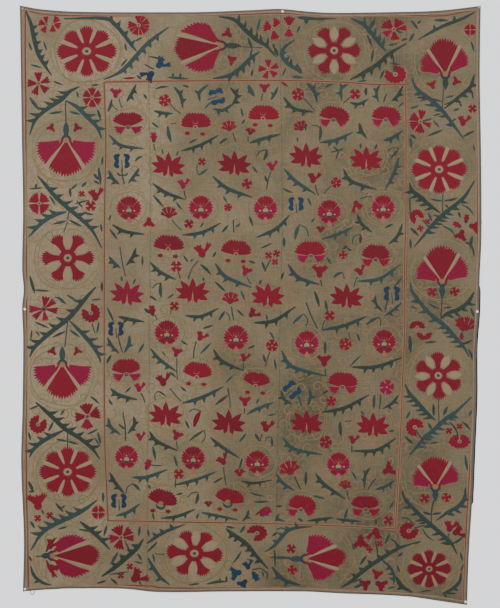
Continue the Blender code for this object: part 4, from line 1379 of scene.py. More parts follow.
BORDER_LEAVES = tuple(
    Leaf(*row)
    for row in (
        (35, 322, 49, 328, 2.4), (36, 331, 40, 336, 2), (32, 330, 31, 340, 2),
        (99, 322, 97, 334, 2.4), (61, 415, 65, 409, 2.4), (49, 431, 54, 421, 2.8),
        (30, 409, 40, 405, 2.4), (29, 432, 31, 440, 2.6), (88, 434, 98, 429, 2.4),
        (95, 438, 100, 445, 2.2), (91, 396, 100, 404, 2.4), (57, 439, 68, 441, 2.8),
        (68, 441, 79, 444, 2.4), (29, 43, 32, 51, 2.4), (44, 42, 47, 51, 2.4),
        (125, 44, 127, 52, 2.2), (121, 67, 128, 59, 2.4), (135, 42, 143, 38, 2.2),
        (54, 82, 63, 85, 2.2), (31, 65, 42, 68, 2.4), (92, 86, 99, 85, 2), (77, 92, 79, 98, 2.2),
        (30, 98, 40, 111, 4), (98, 110, 101, 120, 3), (137, 76, 142, 80, 2.4),
        (149, 57, 163, 60, 2), (50, 114, 63, 112, 2.8), (70, 112, 81, 115, 2.8),
        (53, 337, 66, 331, 2.8), (70, 330, 80, 337, 2.6), (260, 19, 257, 32, 2.8),
        (248, 38, 252, 49, 3.4), (252, 49, 250, 58, 2.4), (273, 44, 275, 50, 2.4),
        (274, 47, 278, 57, 4.2), (282, 55, 286, 64, 4.2), (291, 59, 291, 68, 3.2),
        (298, 66, 302, 74, 2.4), (292, 77, 303, 78, 3), (286, 68, 282, 77, 1.8),
        (300, 26, 297, 33, 2.6), (253, 70, 251, 77, 2.4), (168, 78, 189, 79.5, 3),
        (173, 78, 173.5, 73.5, 2.6), (180, 78, 181, 74, 2.6), (300, 17, 324, 20.5, 3.2),
        (305, 20, 306, 24, 2.4), (374, 20, 372, 28, 3), (411, 21, 418, 30, 3.2),
        (417, 24, 421, 21, 2.4), (434, 20.5, 448, 20.5, 3.2), (409, 42, 414, 33, 3.4),
        (401, 41, 407, 39, 2.6), (388, 46, 397, 44, 2.2), (367, 36, 372, 47, 2.8),
        (373, 50, 371, 63, 2.8), (358, 82, 367, 81, 2), (380, 79, 384, 70, 2.6),
        (390, 64, 400, 65, 2.2), (410, 109, 419, 106, 2.4), (424, 105, 437, 107, 2.2),
        (433, 116, 441, 114, 2), (417, 98, 426, 98, 2.4), (430, 99, 442, 102, 2.4),
        (445, 98, 454, 96, 2.2), (459, 103, 461, 107, 2.2), (453, 111, 459, 109, 2.6),
        (471, 90, 473, 100, 2), (471, 42, 474, 52, 2.4), (433, 121, 439, 128, 2.2),
        (428, 136, 443, 130, 2.6), (410, 135, 416, 139, 3.2), (410, 138, 411, 149, 3.4),
        (463, 137, 474, 131, 3), (473, 145, 474, 152, 1.8), (393, 69, 395, 73, 2.4),
        (394, 30, 403, 34, 2.2), (421, 122, 432, 119, 2.4), (452, 121, 456, 119, 2),
        (444, 105, 458, 100, 2.6), (30, 189, 44, 188, 1.8), (36, 188, 37, 184, 3),
        (50, 196, 56, 205, 2.4), (71, 197, 70, 188, 2.8), (71, 190, 78, 184, 2.4),
        (82, 187, 87, 182, 3.2), (94, 174, 99, 180, 3), (99, 168, 101, 185, 3.6),
        (94, 181, 100, 184, 2.4), (103, 157, 102, 165, 2.4), (75, 204, 90, 200, 2.2),
        (77, 201, 83, 208, 2.2), (84, 213, 94, 215, 2.4), (54, 224, 67, 221, 3.2),
        (69, 220, 83, 227, 2.8), (101, 224, 102, 232, 2.6), (30, 276, 35, 294, 3.4),
        (34, 290, 50, 291, 2.4), (58, 297, 66, 304, 3.6), (67, 295, 76, 300, 2.2),
        (55, 297, 62, 299, 2), (102, 282, 102, 292, 3), (92, 300, 101, 299, 2.2),
        (98, 432, 101, 444, 3), (29, 481, 34, 492, 3.6), (29, 491.5, 35, 491, 2.4),
        (103, 492, 103.5, 502, 3), (56, 503, 64, 512, 3), (61, 508, 66, 505, 2.2),
        (42, 509, 44, 514, 2.2), (31, 521, 35, 528, 3), (58, 529, 68, 526, 2.4),
        (79, 529, 92, 531, 2.2), (107, 525, 104, 536, 3), (140, 526, 139, 536, 3.2),
        (148, 529, 149, 536, 2.6), (118, 552, 111, 564, 3.4), (125, 540, 131, 553, 1.9),
        (138, 553, 142, 560, 2.8), (135, 561, 143, 563, 2.2), (148, 551, 158, 541, 2.6),
        (153, 553, 155, 562, 2.4), (111, 578, 118, 584, 2.6), (97, 583, 107, 580, 2.4),
        (29, 556, 32, 561, 2.6), (32, 571, 36, 578, 3.6), (110, 574, 130, 571, 2),
        (139, 580, 142, 585, 2.2), (52, 517, 57, 522, 2.4), (233, 562, 241.5, 550, 2.6, 0.8),
        (226, 526, 235, 527.5, 2.4), (240.5, 532, 245, 525, 3.2), (247, 558.5, 254, 560.5, 1.8),
        (262, 570.5, 264, 576, 1.8), (267.5, 571, 267, 579, 1.8), (272, 535.5, 278, 531, 2.2),
        (207, 583, 228, 580.5, 3.0, -0.8), (220, 582, 220, 577, 2.6),
        (226.5, 581, 226.5, 575, 2.6), (189, 584, 200, 582.5, 2.0), (352, 543, 354, 550, 3.0),
        (360, 564, 366.5, 555, 3.2), (385, 543, 389.5, 533, 3.4),
        (390, 538.5, 397, 546, 1.6, -1.6), (412, 543.5, 421, 541, 2.4),
        (353, 582, 362, 577.5, 2.0), (354, 587, 363, 583.5, 3.4), (398, 556, 402.5, 552, 3.0),
        (388, 588, 395, 586, 2.2), (409.5, 198, 410, 219, 1.6), (428, 213, 431.5, 221.5, 2.6),
        (410, 228, 418.5, 236, 3.2), (410, 239, 410.5, 249, 2.8),
        (461, 204.5, 474, 216.5, 2.0, -2.0), (458, 212, 460, 218, 2.6),
        (472, 236, 470.5, 250, 3.8, 0.8), (472, 246, 474, 257, 2.0), (465, 242.5, 470, 244, 2.8),
        (430, 199, 443, 201, 2.2, 0.6), (444, 201, 457.5, 198, 2.6, 0.6),
        (433, 215, 442, 218, 2.2), (442, 226, 455, 235.5, 2.4, -1.6), (445, 205, 448, 208, 2.4),
        (429, 304, 438.5, 309, 2.6), (444, 308, 452, 307, 1.8), (470.5, 308, 474, 317, 2.8),
        (410, 306, 417, 309, 2.0), (409.5, 336, 410.5, 353, 4.4), (425, 342.5, 436, 341.5, 2.8),
        (461, 344, 472, 340, 2.8, 0.8), (468, 349, 472.5, 361, 3.0, -0.8),
        (406, 418, 410, 411, 2.8), (433, 404, 433.5, 416, 3.4), (443, 415, 447, 406, 3.4),
        (468.5, 416, 471, 410, 2.4), (404.5, 436, 413, 444, 3.2), (428, 423, 431.5, 429.5, 3.0),
        (461.5, 421.5, 470, 430, 2.4, -0.8), (430, 443, 438, 442, 2.2),
        (464.5, 455, 467, 470.5, 3.2), (422.5, 511.5, 431, 514.5, 2.8),
        (432, 514, 441, 512.5, 2.6), (401, 517, 413, 524, 1.6, -2.4),
        (422, 528, 434, 541, 1.8, 1.6), (414, 528, 431, 525.5, 1.4, -1.4),
        (452, 543.5, 463.5, 535.5, 2.6, 1.0), (460, 552, 462.5, 561, 2.4),
        (460.5, 571, 463.5, 563.5, 2.0), (420, 592, 432, 590.5, 1.8, -0.8),
        (447, 597, 443, 593, 3.0), (446, 593, 456, 593.5, 2.2), (397, 565, 399.5, 572, 2.2),
    )
)

BORDER_STEMS = tuple(
    Leaf(*row)
    for row in (
        (92, 323, 95, 333, 1.2), (68, 430, 68, 448, 1.1), (69, 212, 68, 220, 1.2),
        (68, 222, 64, 232, 1.1), (121, 553, 121, 562, 1.1), (155, 553, 165, 554, 1),
        (393, 57, 394, 70, 1.1), (145, 65, 154, 70, 1.4), (442.4, 194, 442.2, 214, 1.2),
        (442, 296, 440.8, 318, 1.2), (438, 399, 438.6, 424, 1.0), (433.6, 500, 431, 514, 1.6, 0.4),
        (431, 514, 431.2, 524, 1.2), (415.5, 430, 421.5, 438.5, 1.6),
        (449, 421.5, 458, 436, 2.2, -1.4), (422, 220, 430, 229, 1.4),
        (449, 533, 448, 540, 1.4, 0.6), (375, 540, 377.5, 556, 1.8, -0.6),
        (270, 556.5, 297, 558, 3.0, -0.4), (274.4, 549, 275, 566, 2.0),
        (252, 569, 268, 573, 1.4, -3.4), (277, 528.5, 286, 529.5, 1.4, -1.8),
        (66, 102, 66.4, 124, 1.2), (68, 320, 65, 347, 1.2), (262, 48, 240, 47, 1.0),
        (442, 108, 443, 89, 1.1), (36, 556, 43, 556, 1.2),
    )
)


class Run(NamedTuple):
    """A long sewn line by chart places, its width and its silk."""

    points: tuple[tuple[float, float], ...]
    width: float
    silk: Silk


LEFT_RUN = ((25.4, 12), (25.5, 60), (26, 90), (26.3, 135), (26.7, 450), (27.8, 540), (28.6, 587))
TOP_RUN = ((22, 9.6), (60, 15.8), (190, 16), (250, 14.5), (280, 13.6), (320, 16))
TOP_RUN_RIGHT = ((320, 16), (400, 16), (440, 16.2), (458, 13.4), (477, 9.6))
RIGHT_RUN = ((477, 12), (477.2, 150), (477.2, 250), (476.7, 300), (472, 430), (469, 470))
RIGHT_RUN_LOW = ((469, 470), (467, 505), (465.5, 538), (463.3, 600))
BOTTOM_RUN = ((24, 588.5), (50, 588), (100, 585), (150, 585.2), (170, 587), (290, 587.2))
BOTTOM_RUN_RIGHT = ((290, 587.2), (325, 589), (369, 591), (403, 594), (436, 599), (466, 603.4))
INNER_TOP = ((105, 82.5), (195, 81.4), (280, 80.8), (340, 82.5), (375, 85), (404.8, 85))
INNER_RIGHT = ((404.8, 85), (405.5, 125), (405.5, 219), (404.4, 260), (404.4, 330), (402, 386))
INNER_RIGHT_LOW = ((402, 386), (400, 440), (397, 496), (395, 528.3))
INNER_LEFT = ((104.4, 82.5), (106, 142), (104.6, 230), (104.6, 418), (106.7, 485), (108.3, 520.3))
INNER_BOTTOM = ((108.3, 520.3), (200, 521.8), (281, 523.3), (335, 525.3), (395, 528.3))
FRAME_RUNS = tuple(
    Run(*row)
    for row in (
        (LEFT_RUN, 1.1, Silk.RUST), (TOP_RUN, 1.1, Silk.RUST), (TOP_RUN_RIGHT, 1.1, Silk.RUST),
        (RIGHT_RUN, 1.1, Silk.RUST), (RIGHT_RUN_LOW, 1.1, Silk.RUST), (BOTTOM_RUN, 1.1, Silk.RUST),
        (BOTTOM_RUN_RIGHT, 1.1, Silk.RUST), (INNER_TOP, 0.9, Silk.RUST),
        (INNER_RIGHT, 0.9, Silk.RUST), (INNER_RIGHT_LOW, 0.9, Silk.RUST),
        (INNER_LEFT, 0.9, Silk.RUST), (INNER_BOTTOM, 0.9, Silk.RUST),
    )
)


def within(x: np.ndarray | float, y: np.ndarray | float, margin: float) -> np.ndarray | bool:
    """Whether chart places lie on the cloth, further from its edges than a margin.

    Args:
        x: chart columns.
        y: chart rows.
        margin: the margin in chart steps.

    Returns:
        Whether each lies within.
    """
    down = np.clip((np.asarray(y) - CHART_TOP) * CHART_STEP / HEIGHT, 0, 1)
    left = edge_at(LEFT_EDGE, down) / CHART_STEP + CHART_MIDDLE
    right = edge_at(RIGHT_EDGE, down) / CHART_STEP + CHART_MIDDLE
    across = np.clip((np.asarray(x) - left) / (right - left), 0, 1)
    top = CHART_TOP - edge_at(TOP_EDGE, across) / CHART_STEP
    foot = CHART_TOP - edge_at(BOTTOM_EDGE, across) / CHART_STEP
    beside = (x > left + margin) & (x < right - margin)
    return beside & (y > top + margin) & (y < foot - margin)


def oval_reach(
    flower: OpenFlower | PetalFlower | Rosette, angles: np.ndarray | float
) -> np.ndarray:
    """How far a flower's oval reaches from its middle, at angles in radians."""
    return 1 / np.hypot(np.cos(angles) / flower.reach_x, np.sin(angles) / flower.reach_y)


@dataclass
class Embroidery:
    """The silk embroidery: every motif as low patches of stitching, gathered silk by silk."""

    patches: dict[Silk, list[Patch]] = field(default_factory=lambda: {silk: [] for silk in Silk})
    motifs: int = 0

    def next_tone(self) -> float:
        """A tone for the next motif, spread evenly by the golden ratio."""
        self.motifs += 1
        return 0.9 * ((self.motifs * 0.618034) % 1.0)

    def add(self, silk: Silk, patch: Patch, bleed: float = 0.0) -> None:
        """Adds a patch, and under it the dye that has bled round it.

        Args:
            silk: its silk.
            patch: the patch.
            bleed: how far the bled dye reaches beyond it, in chart steps.
        """
        self.patches[silk].append(patch)
        if bleed:
            middle = patch.spots.reshape(-1, 2).mean(axis=0)
            away = patch.spots - middle
            far = np.linalg.norm(away, axis=-1, keepdims=True)
            spots = middle + away * (1 + bleed / np.maximum(far.max() * 0.8, 1.0))
            rise = np.minimum(patch.rise, Silk.BLEED.height())
            rows, columns = (np.unique(np.r_[0:n:2, n - 1]) for n in rise.shape)
            coarse = np.ix_(rows, columns)
            under = Patch(spots[coarse], rise[coarse], patch.threads[coarse], patch.tone)
            self.patches[Silk.BLEED].append(under)

    def leaf(self, leaf: Leaf, silk: Silk, lift: float = 0.0) -> None:
        """Lays a leaf: a ribbon widest near its middle, bowed to one side."""
        run = np.array([leaf.x1 - leaf.x0, leaf.y1 - leaf.y0])
        side = np.array([-run[1], run[0]]) / max(float(np.linalg.norm(run)), 1e-6)
        middle = np.array([(leaf.x0 + leaf.x1) / 2, (leaf.y0 + leaf.y1) / 2]) + side * leaf.bow
        points = [(leaf.x0, leaf.y0), tuple(middle), (leaf.x1, leaf.y1)]
        widths = (0.35, 0.8, 1.0, 0.75, 0.12) if leaf.width > 1.7 else (1.0, 1.0)
        widths = tuple(leaf.width * w for w in widths)
        patch = ribbon(points, widths, silk.height(), self.next_tone(), 8, 5, lift)
        self.add(silk, patch)

    def thorned(
        self,
        points: tuple[tuple[float, float], ...],
        width: float,
        thorns: int,
        reach: float,
        sweep: float = -0.15,
    ) -> None:
        """Lays a thorned branch: a ribbon and, on one side, short curved spikes.

        Args:
            points: the branch's chart places.
            width: its width.
            thorns: how many spikes, right of its run or, if negative, left.
            reach: a spike's length.
            sweep: how far a spike leans forward, as a share of its length.
        """
        tone = self.next_tone()
        silk = Silk.TEAL
        width = width * 1.08
        widths = tuple(width * w for w in (0.3, 0.85, 1.0, 0.95, 0.8, 0.25))
        self.add(silk, ribbon(points, widths, silk.height(), tone, 8 * len(points), 5))
        line = through(points, 61)
        side = 1 if thorns > 0 else -1
        for k in range(abs(thorns)):
            share = 0.2 + 0.66 * (k + 0.5) / abs(thorns)
            spot = line[int(60 * share)]
            run = line[int(60 * share) + 2] - line[int(60 * share) - 2]
            run = run / np.linalg.norm(run)
            out = side * np.array([-run[1], run[0]])
            far = reach * (0.88 + 0.24 * ((k * 0.618 + tone) % 1))
            tip = spot + out * (far * 0.95 + width * 0.3) + run * far * sweep
            bend = spot + out * far * 0.5 + run * far * (sweep * 0.45 + 0.15)
            spike = [tuple(spot + run * 0.6), tuple(bend), tuple(tip)]
            wide = (width * 0.95, width * 0.75, 0.25) if far > 6 else (width * 1.35, width * 0.95, 0.25)
            self.add(silk, ribbon(spike, wide, silk.height(), tone, 6, 3))

    def small_flower(self, flower: SmallFlower) -> None:
        """Works a small flower: toothed petals from a shared root, a pale heart and two sepals."""
        tone = self.next_tone()
        turn = math.radians(flower.turn)
        up = np.array([math.sin(turn), -math.cos(turn)])
        petals = flower.kind.value
        for angle, length, width, start in petals:
            root = np.array([flower.x, flower.y]) + up * start * flower.size
            reach = (length - min(start, 0.0)) * flower.size
            half = math.degrees(math.atan2(width * flower.size / 2, reach * 0.7))
            lean = angle if start == 0 else angle * 0.8
            teeth = 3 if flower.size > 4 else 2
            patch = lobe(float(root[0]), float(root[1]), flower.turn + lean - 90, (-half, half),
                0.0, (reach * 0.94, reach, reach
                * 0.94), flower.silk.height(), tone, teeth, reach * 0.13, 0.25, 13, 5)
            self.add(flower.silk, patch, 1.1)
        root = np.array([flower.x, flower.y]) + up * petals[0][3] * flower.size * 0.8
        heart = root - up * petals[0][3] * flower.size * 0.4
        body = flower.size * (0.5 if petals[0][3] == 0.0 else 0.42)
        solid = disc(float(heart[0]), float(heart[1]), body, body, 0.8, tone, cells=4)
        self.add(flower.silk, solid)
        if petals[0][3] == 0.0:
            if flower.size > 5:
                pale = flower.size * 0.22
                self.add(Silk.ROSE, disc(flower.x, flower.y, pale, pale, 0.95, tone, cells=3))
                self.add(Silk.NAVY, disc(flower.x, flower.y, pale / 2, pale / 2, 1.05, tone,
                    cells=2))
            return
        for side in (-1, 1):
            end = root + up * flower.size * 0.42 + side * np.array([-up[1], up[0]]) * flower.size * 0.4
            sepal = [tuple(root - up * 0.6), tuple((root + end) / 2 - up * 0.5), tuple(end)]
            self.add(Silk.NAVY, ribbon(sepal, (1.0, 1.5, 0.2), 0.7, tone, 5, 3, 0.25))

    def star(self, flower: StarFlower) -> None:
        """Works a nine-pointed flower: petals that widen from its root and then taper to points."""
        tone = self.next_tone()
        silk = flower.silk
        x, y = flower.x, flower.y - 3.0
        self.add(silk, disc(x, y - 3.5, 6.2, 4.6, 0.8, tone, cells=5), 1.0)
        for k, (tip_x, tip_y) in enumerate(STAR_TIPS):
            low = k > 6
            root = (x + (1.6 if tip_x > 0 else -1.6 if tip_x < 0 else 0.0), y + (0.5 if low else 0.0))
            end = (flower.x + tip_x, flower.y + tip_y)
            widths = (2.4, 4.2, 4.4, 0.3) if low else (2.6, 5.6, 6.6, 6.0, 3.6, 0.2)
            self.add(silk, ribbon([root, end], widths, 0.8, tone, 14, 7), 1.3)
        slot = [(x, y + 5.0), (x, y + 1.0), (x, y - 2.4)]
        self.add(Silk.ROSE, ribbon(slot, (2.2, 1.6, 0.5), 0.4, tone, 8, 5, 0.6))

    def round_flower(self, flower: RoundFlower) -> None:
        """Works a round flower: a toothed cap, pink sides, pale lines, a small tulip and its cup."""
        tone = self.next_tone()
        x, y, across, down = flower
        rim = disc(x, y, across, down, 0.75, tone, 22, 0.17, 12)
        self.add(Silk.MAGENTA, rim, 1.2)
        reaches = (across - 0.4, down + 1.6, down + 2.2, down + 1.6, across - 0.4)
        cap = lobe(x, y + 1.5, -90, (-54, 54), 1.5, reaches, 0.85, tone, 10, 2.2, 0.0, 61, 7, 0.12)
        self.add(Silk.CRIMSON, cap)
        for side in (-1, 1):
            reaches = (down - 3.2, down - 0.2, down - 0.8)
            foot = lobe(x, y + 1.0, 90 - side * 36, (-24, 24), 4.0, reaches[::side], 0.85, tone, 4,
                2.0, 0.0, 25, 5, 0.12)
            self.add(Silk.CRIMSON, foot, 0.8)
            upper = [(x + side * 3.0, y - 0.4), (x + side * 6.4, y - 4.6), (x + side * 9.8, y - 7.2)]
            self.add(Silk.ROSE, ribbon(upper, (0.7, 1.1, 1.3), 0.4, tone, 7, 3, 0.75))
            lower = [(x + side * 2.6, y + 4.6), (x + side * 6.6, y + 5.8), (x + side * 11.2, y + 5.0)]
            self.add(Silk.ROSE, ribbon(lower, (0.8, 1.0, 1.2), 0.4, tone, 7, 3, 0.75))
            self.add(Silk.CREAM, disc(x + side * 5.4, y + 2.6, 1.4, 1.2, 1.15, tone, cells=3))
            petal = [(x, y - 0.6), (x + side * 2.3, y - 2.6), (x + side * 2.6, y - 5.4)]
            self.add(Silk.ROSE, ribbon(petal, (1.6, 1.9, 0.4), 0.5, tone, 7, 3, 0.75))
        line = [(x, y - 0.4), (x, y - 5.0)]
        self.add(Silk.ROSE, ribbon(line, (1.6, 1.9, 0.4), 0.5, tone, 6, 3, 0.75))
        self.add(Silk.CREAM, disc(x, y + 2.4, 3.2, 2.7, 1.3, tone, cells=4))
        self.add(Silk.TEAL, disc(x, y + 4.8, 2.7, 1.5, 1.45, tone, cells=4))
        self.add(Silk.BLEED, lobe(x, y + 3, 90, (-15, 15), 4, (down,), 0.9, tone, 1, 0, 0, 5, 4))

    def half_carnation(self, flower: HalfCarnation) -> None:
        """Works a half carnation: a toothed cap from tip to tip, with its eye and small side blooms."""
        tone = self.next_tone()
        x, y = flower.eye_x, flower.eye_y + 0.4
        left = (flower.x0 - x, flower.y0 - y)
        right = (flower.x1 - x, flower.y1 - y)
        first = math.degrees(math.atan2(left[1], left[0])) % 360 - 270
        last = math.degrees(math.atan2(right[1], right[0])) + 90
        up = y - flower.top + 0.6
        ends = (math.hypot(*left) + 1, math.hypot(*right) + 1)
        sides = (up * 0.52 + ends[0] * 0.58, up * 0.52 + ends[1] * 0.58)
        reaches = (ends[0], sides[0], up * 1.1, up, up * 1.1, sides[1], ends[1])
        cap = lobe(x, y, -90, (first, last), 1.0, reaches, 0.8, tone, 15, 1.9, -0.04, 61, 9)
        self.add(Silk.CRIMSON, cap, 1.3)
        if flower.eye is Eye.RING:
            for side in (-1, 1):
                bloom = lobe(x + side * 2.4, y - 0.2, 90 - side * 64, (-32, 32), 0.6,
                    (9.5, 12, 12.5)[::-side], 0.8, tone, 5, 2.6, 0.1, 31, 6)
                self.add(Silk.MAGENTA, bloom, 1.0)
            self.add(Silk.ROSE, disc(x, y - 0.2, 3.2, 2.6, 0.95, tone, cells=4))
            self.add(Silk.TEAL, disc(x, y, 2.6, 2.0, 1.1, tone, cells=4))
            self.add(Silk.CREAM, disc(x, y, 1.1, 0.8, 1.25, tone, cells=2))
            return
        if flower.eye is Eye.CURLS:
            self.add(Silk.ROSE, disc(x, y - 1.2, 3.0, 2.6, 0.95, tone, cells=4))
            self.add(Silk.CRIMSON, disc(x, y - 1.0, 1.7, 1.5, 1.1, tone, cells=3))
            for side in (-1, 1):
                curl = [(x, y - 4.4), (x + side * 2.2, y - 5.0), (x + side * 2.6, y - 7.2)]
                self.add(Silk.ROSE, ribbon(curl, (1.4, 1.6, 0.5), 0.4, tone, 7, 3, 0.7))
        else:
            self.add(Silk.OCHRE, disc(x, y - 2.4, 3.2, 2.4, 0.95, tone, cells=4))
            for side in (-1, 1):
                sepal = [(x, y + 3.4), (x + side * 3.4, y + 1.6), (x + side * 5.0, y - 1.8)]
                self.add(Silk.TEAL, ribbon(sepal, (2.6, 2.4, 0.4), 0.7, tone, 7, 3, 0.2))
        for dot_x, dot_y in ((-8, 5.2), (7.2, 6)):
            dot = disc(x + dot_x, y + dot_y, 3.2, 2.2, 0.75, tone, 5, 0.35, 5)
            self.add(Silk.CRIMSON, dot, 0.9)

    def open_flower(self, flower: OpenFlower) -> None:
        """Works a thick toothed crescent round a pale heart."""
        tone = self.next_tone()
        first, last = flower.gap / 2, 360 - flower.gap / 2
        mean = (flower.reach_x + flower.reach_y) / 2
        shares = np.linspace(first, last, 9)
        angles = np.radians(flower.opening + shares)
        reaches = oval_reach(flower, angles)
        teeth = max(5, int((last - first) / 24))
        patch = lobe(flower.x, flower.y, flower.opening, (first, last), mean * 0.16,
            tuple(reaches), 0.8, tone, teeth, mean * 0.15, 0.0, 61, 7)
        self.add(flower.silk, patch, 1.2)
        self.add(Silk.ROSE, disc(flower.x, flower.y, mean * 0.26, mean * 0.24, 1.0, tone, cells=4))
        self.add(Silk.NAVY, disc(flower.x, flower.y, mean * 0.12, mean * 0.12, 1.1, tone, cells=3))

    def petal_flower(self, flower: PetalFlower) -> None:
        """Works toothed petals with pale gaps between, and a dark eye in a pale heart."""
        tone = self.next_tone()
        x, y, mean = flower.x, flower.y, (flower.reach_x + flower.reach_y) / 2
        for middle, half in flower.petals:
            angles = np.radians(middle + np.linspace(-half, half, 3))
            reaches = oval_reach(flower, angles)
            patch = lobe(x, y, middle, (-half, half), mean * 0.16, tuple(reaches), 0.8, tone,
                max(3, round(half / 7)), mean * 0.16, 0.06, 31, 6)
            self.add(flower.silk, patch, 1.1)
        self.add(Silk.ROSE, disc(x, y, mean * 0.2, mean * 0.18, 0.95, tone, cells=3))
        self.add(Silk.TEAL, disc(x, y, mean * 0.12, mean * 0.1, 1.1, tone, cells=3))

    def iris(self, flower: Iris) -> None:
        """Works a blue flower: two crescents, backs outwards, and a short stem between."""
        tone = self.next_tone()
        turn, size = math.radians(flower.turn), flower.size

        def at(across: float, up: float) -> tuple[float, float]:
            """A place given along the flower's own two directions, in sizes."""
            return (flower.x + size * (across * math.cos(turn) + up * math.sin(turn)), flower.y
                + size * (across * math.sin(turn) - up * math.cos(turn)))

        for side in (-1, 1):
            crescent = [at(side * 0.32, 0.92), at(side * 0.88, 0.62), at(side * 0.7, -0.05)]
            crescent += [at(side * 0.86, -0.66), at(side * 0.44, -0.98)]
            widths = tuple(size * w for w in (0.4, 0.8, 0.56, 0.8, 0.4))
            self.add(flower.silk, ribbon(crescent, widths, 0.8, tone, 16, 5))
        stem = [at(0.0, 0.1), at(0.05, -0.8), at(0.1, -1.5)]
        self.add(Silk.TEAL, ribbon(stem, (0.8, 1.0, 1.4), 0.6, tone, 7, 3))

    def curls(self) -> None:
        """Fills the ground with faint curls on a staggered grid, each a spiral of about one turn.

        The radius shrinks evenly as the angle grows, and golden-ratio steps scatter and turn them.
        """
        for row in range(46):
            for column in range(36):
                k = row * 36 + column
                drift = (k * 0.618034) % 1, (k * 0.754878) % 1
                x = 30 + column * 12.7 + (row % 2) * 6.3 + 5 * (drift[0] - 0.5)
                y = 20 + row * 12.6 + 5 * (drift[1] - 0.5)
                if not within(x, y, 12.0):
                    continue
                turn = np.linspace(0, 5.2 + 2 * drift[0], 15) * (1 if k % 2 else -1)
                radius = (4.4 + 2.0 * drift[1]) * np.linspace(1.0, 0.25, 15)
                spots = np.stack([x + radius * np.cos(turn + 9 * drift[1]), y + radius
                    * np.sin(turn + 9 * drift[1])], axis=-1)
                silk = (Silk.OLIVE, Silk.OCHRE, Silk.OLIVE, Silk.ROSE)[(k * 7 + row) % 4]
                self.add(silk, ribbon(spots, (0.9, 1.3, 1.2, 0.9), 0.22, drift[0], 16, 3))

    def rosette(self, flower: Rosette) -> None:
        """Works a border rosette: toothed petals, cream bars between, and a ringed eye."""
        tone = self.next_tone()
        mean = (flower.reach_x + flower.reach_y) / 2
        step = 360 / flower.petals
        for k in range(flower.petals):
            middle = flower.turn + step * (k + 0.5)
            half = step / 2 - math.degrees(math.atan2(flower.bar / 2, mean * 0.8))
            angles = np.radians(middle + np.linspace(-half, half, 5))
            reaches = oval_reach(flower, angles)
            reaches = reaches * np.array([0.9, 0.99, 1.03, 0.99, 0.9])
            pinch = 0.12 if flower.bar < 6 else 0.34
            patch = lobe(flower.x, flower.y, middle, (-half, half), mean * 0.24, tuple(reaches),
                0.8, tone, 7, mean * 0.1, pinch, 57, 9)
            self.add(Silk.CRIMSON, patch, 1.2)
            angle = math.radians(flower.turn + step * k)
            far = float(oval_reach(flower, angle))
            ends = [(flower.x + far * s * math.cos(angle), flower.y + far * s * math.sin(angle))
                for s in (0.36, 0.92)]
            bar = flower.bar
            widths = (bar * 0.6, bar * 0.9, bar) if bar < 6 else (0.8, bar * 0.8, bar, bar * 0.75, 1)
            self.add(Silk.CREAM, ribbon(ends, widths, 0.5, tone, 12, 5, 0.25), 0.8)
        for silk, share, high in (
            (Silk.CRIMSON, 0.33, 0.95),
            (Silk.ROSE, 0.19, 1.1),
            (Silk.CREAM, 0.15, 1.2),
            (Silk.TEAL, 0.08, 1.35),
        ):
            across, down = flower.reach_x * share, flower.reach_y * share
            self.add(silk, disc(flower.x, flower.y, across, down, high, tone, cells=5))
        self.medallion(flower.x, flower.y, mean + 7)

    def fan(self, flower: Fan) -> None:
        """Works a side-on carnation: a toothed middle petal, two pink ones, bars and a blue cup."""
        tone = self.next_tone()
        x, y, turn = flower.x, flower.y, flower.turn
        near = 3.0
        middle = lobe(x, y, turn, (flower.bar_a + 3, flower.bar_b - 3), near,
            (flower.bar_reach_a, flower.ahead * 0.96, flower.ahead, flower.ahead * 0.96,
            flower.bar_reach_b), 0.8, tone, 13, 3.6, 0.0, 79, 11)
        self.add(Silk.CRIMSON, middle, 1.2)
        for bar, bar_reach, end, end_reach in (
            (flower.bar_a, flower.bar_reach_a, flower.end_a, flower.end_reach_a),
            (flower.bar_b, flower.bar_reach_b, flower.end_b, flower.end_reach_b),
        ):
            side = 1 if bar > 0 else -1
            low, high = sorted((bar + side * 4, end))
            reaches = (bar_reach * 0.98, (bar_reach + end_reach) / 2 * 1.04, end_reach)
            reaches = reaches if side > 0 else reaches[::-1]
            petal = lobe(x, y, turn, (low, high), near + 4, reaches, 0.8, tone, 9, 3.4, 0.08, 61, 11)
            self.add(Silk.MAGENTA, petal, 1.2)
            angle = math.radians(turn + bar)
            line = [(x + r * math.cos(angle), y + r * math.sin(angle)) for r in (4, bar_reach)]
            self.add(Silk.CREAM, ribbon(line, (1.6, 2.9, 3.2), 0.5, tone, 12, 5, 0.2))
            hook = [(x + r * math.cos(math.radians(turn + side * a)), y + r
                * math.sin(math.radians(turn + side * a))) for r,
                a in ((7, 140), (14, 112), (20, 108), (27, 96))]
            self.add(Silk.OLIVE, ribbon(hook, (1.2, 1.6, 0.6), 0.5, tone, 9, 3))
        ahead = np.array([math.cos(math.radians(turn)), math.sin(math.radians(turn))])
        across = np.array([-ahead[1], ahead[0]])
        spot = np.array([x, y])
        self.add(Silk.OCHRE, disc(x, y, 3.4, 3.0, 0.9, tone, cells=4))
        for side in (-1, 1):
            wing = [spot - ahead * 4.5, spot + across * side * 3.4, spot + (ahead + across * side) * 6]
            self.add(Silk.CRIMSON, ribbon(wing, (0.8, 2.2, 2.6), 0.8, tone, 9, 5, 0.1))
            sepal = [spot - ahead * 5, spot - ahead * 2 + across * side * 3, spot + across * side * 5.4]
            self.add(Silk.NAVY, ribbon(sepal, (2.4, 2.6, 0.4), 0.7, tone, 7, 5, 0.35))
        bulb = [spot - ahead * flower.cup, spot - ahead * (flower.cup + 2) / 2, spot - ahead * 1.5]
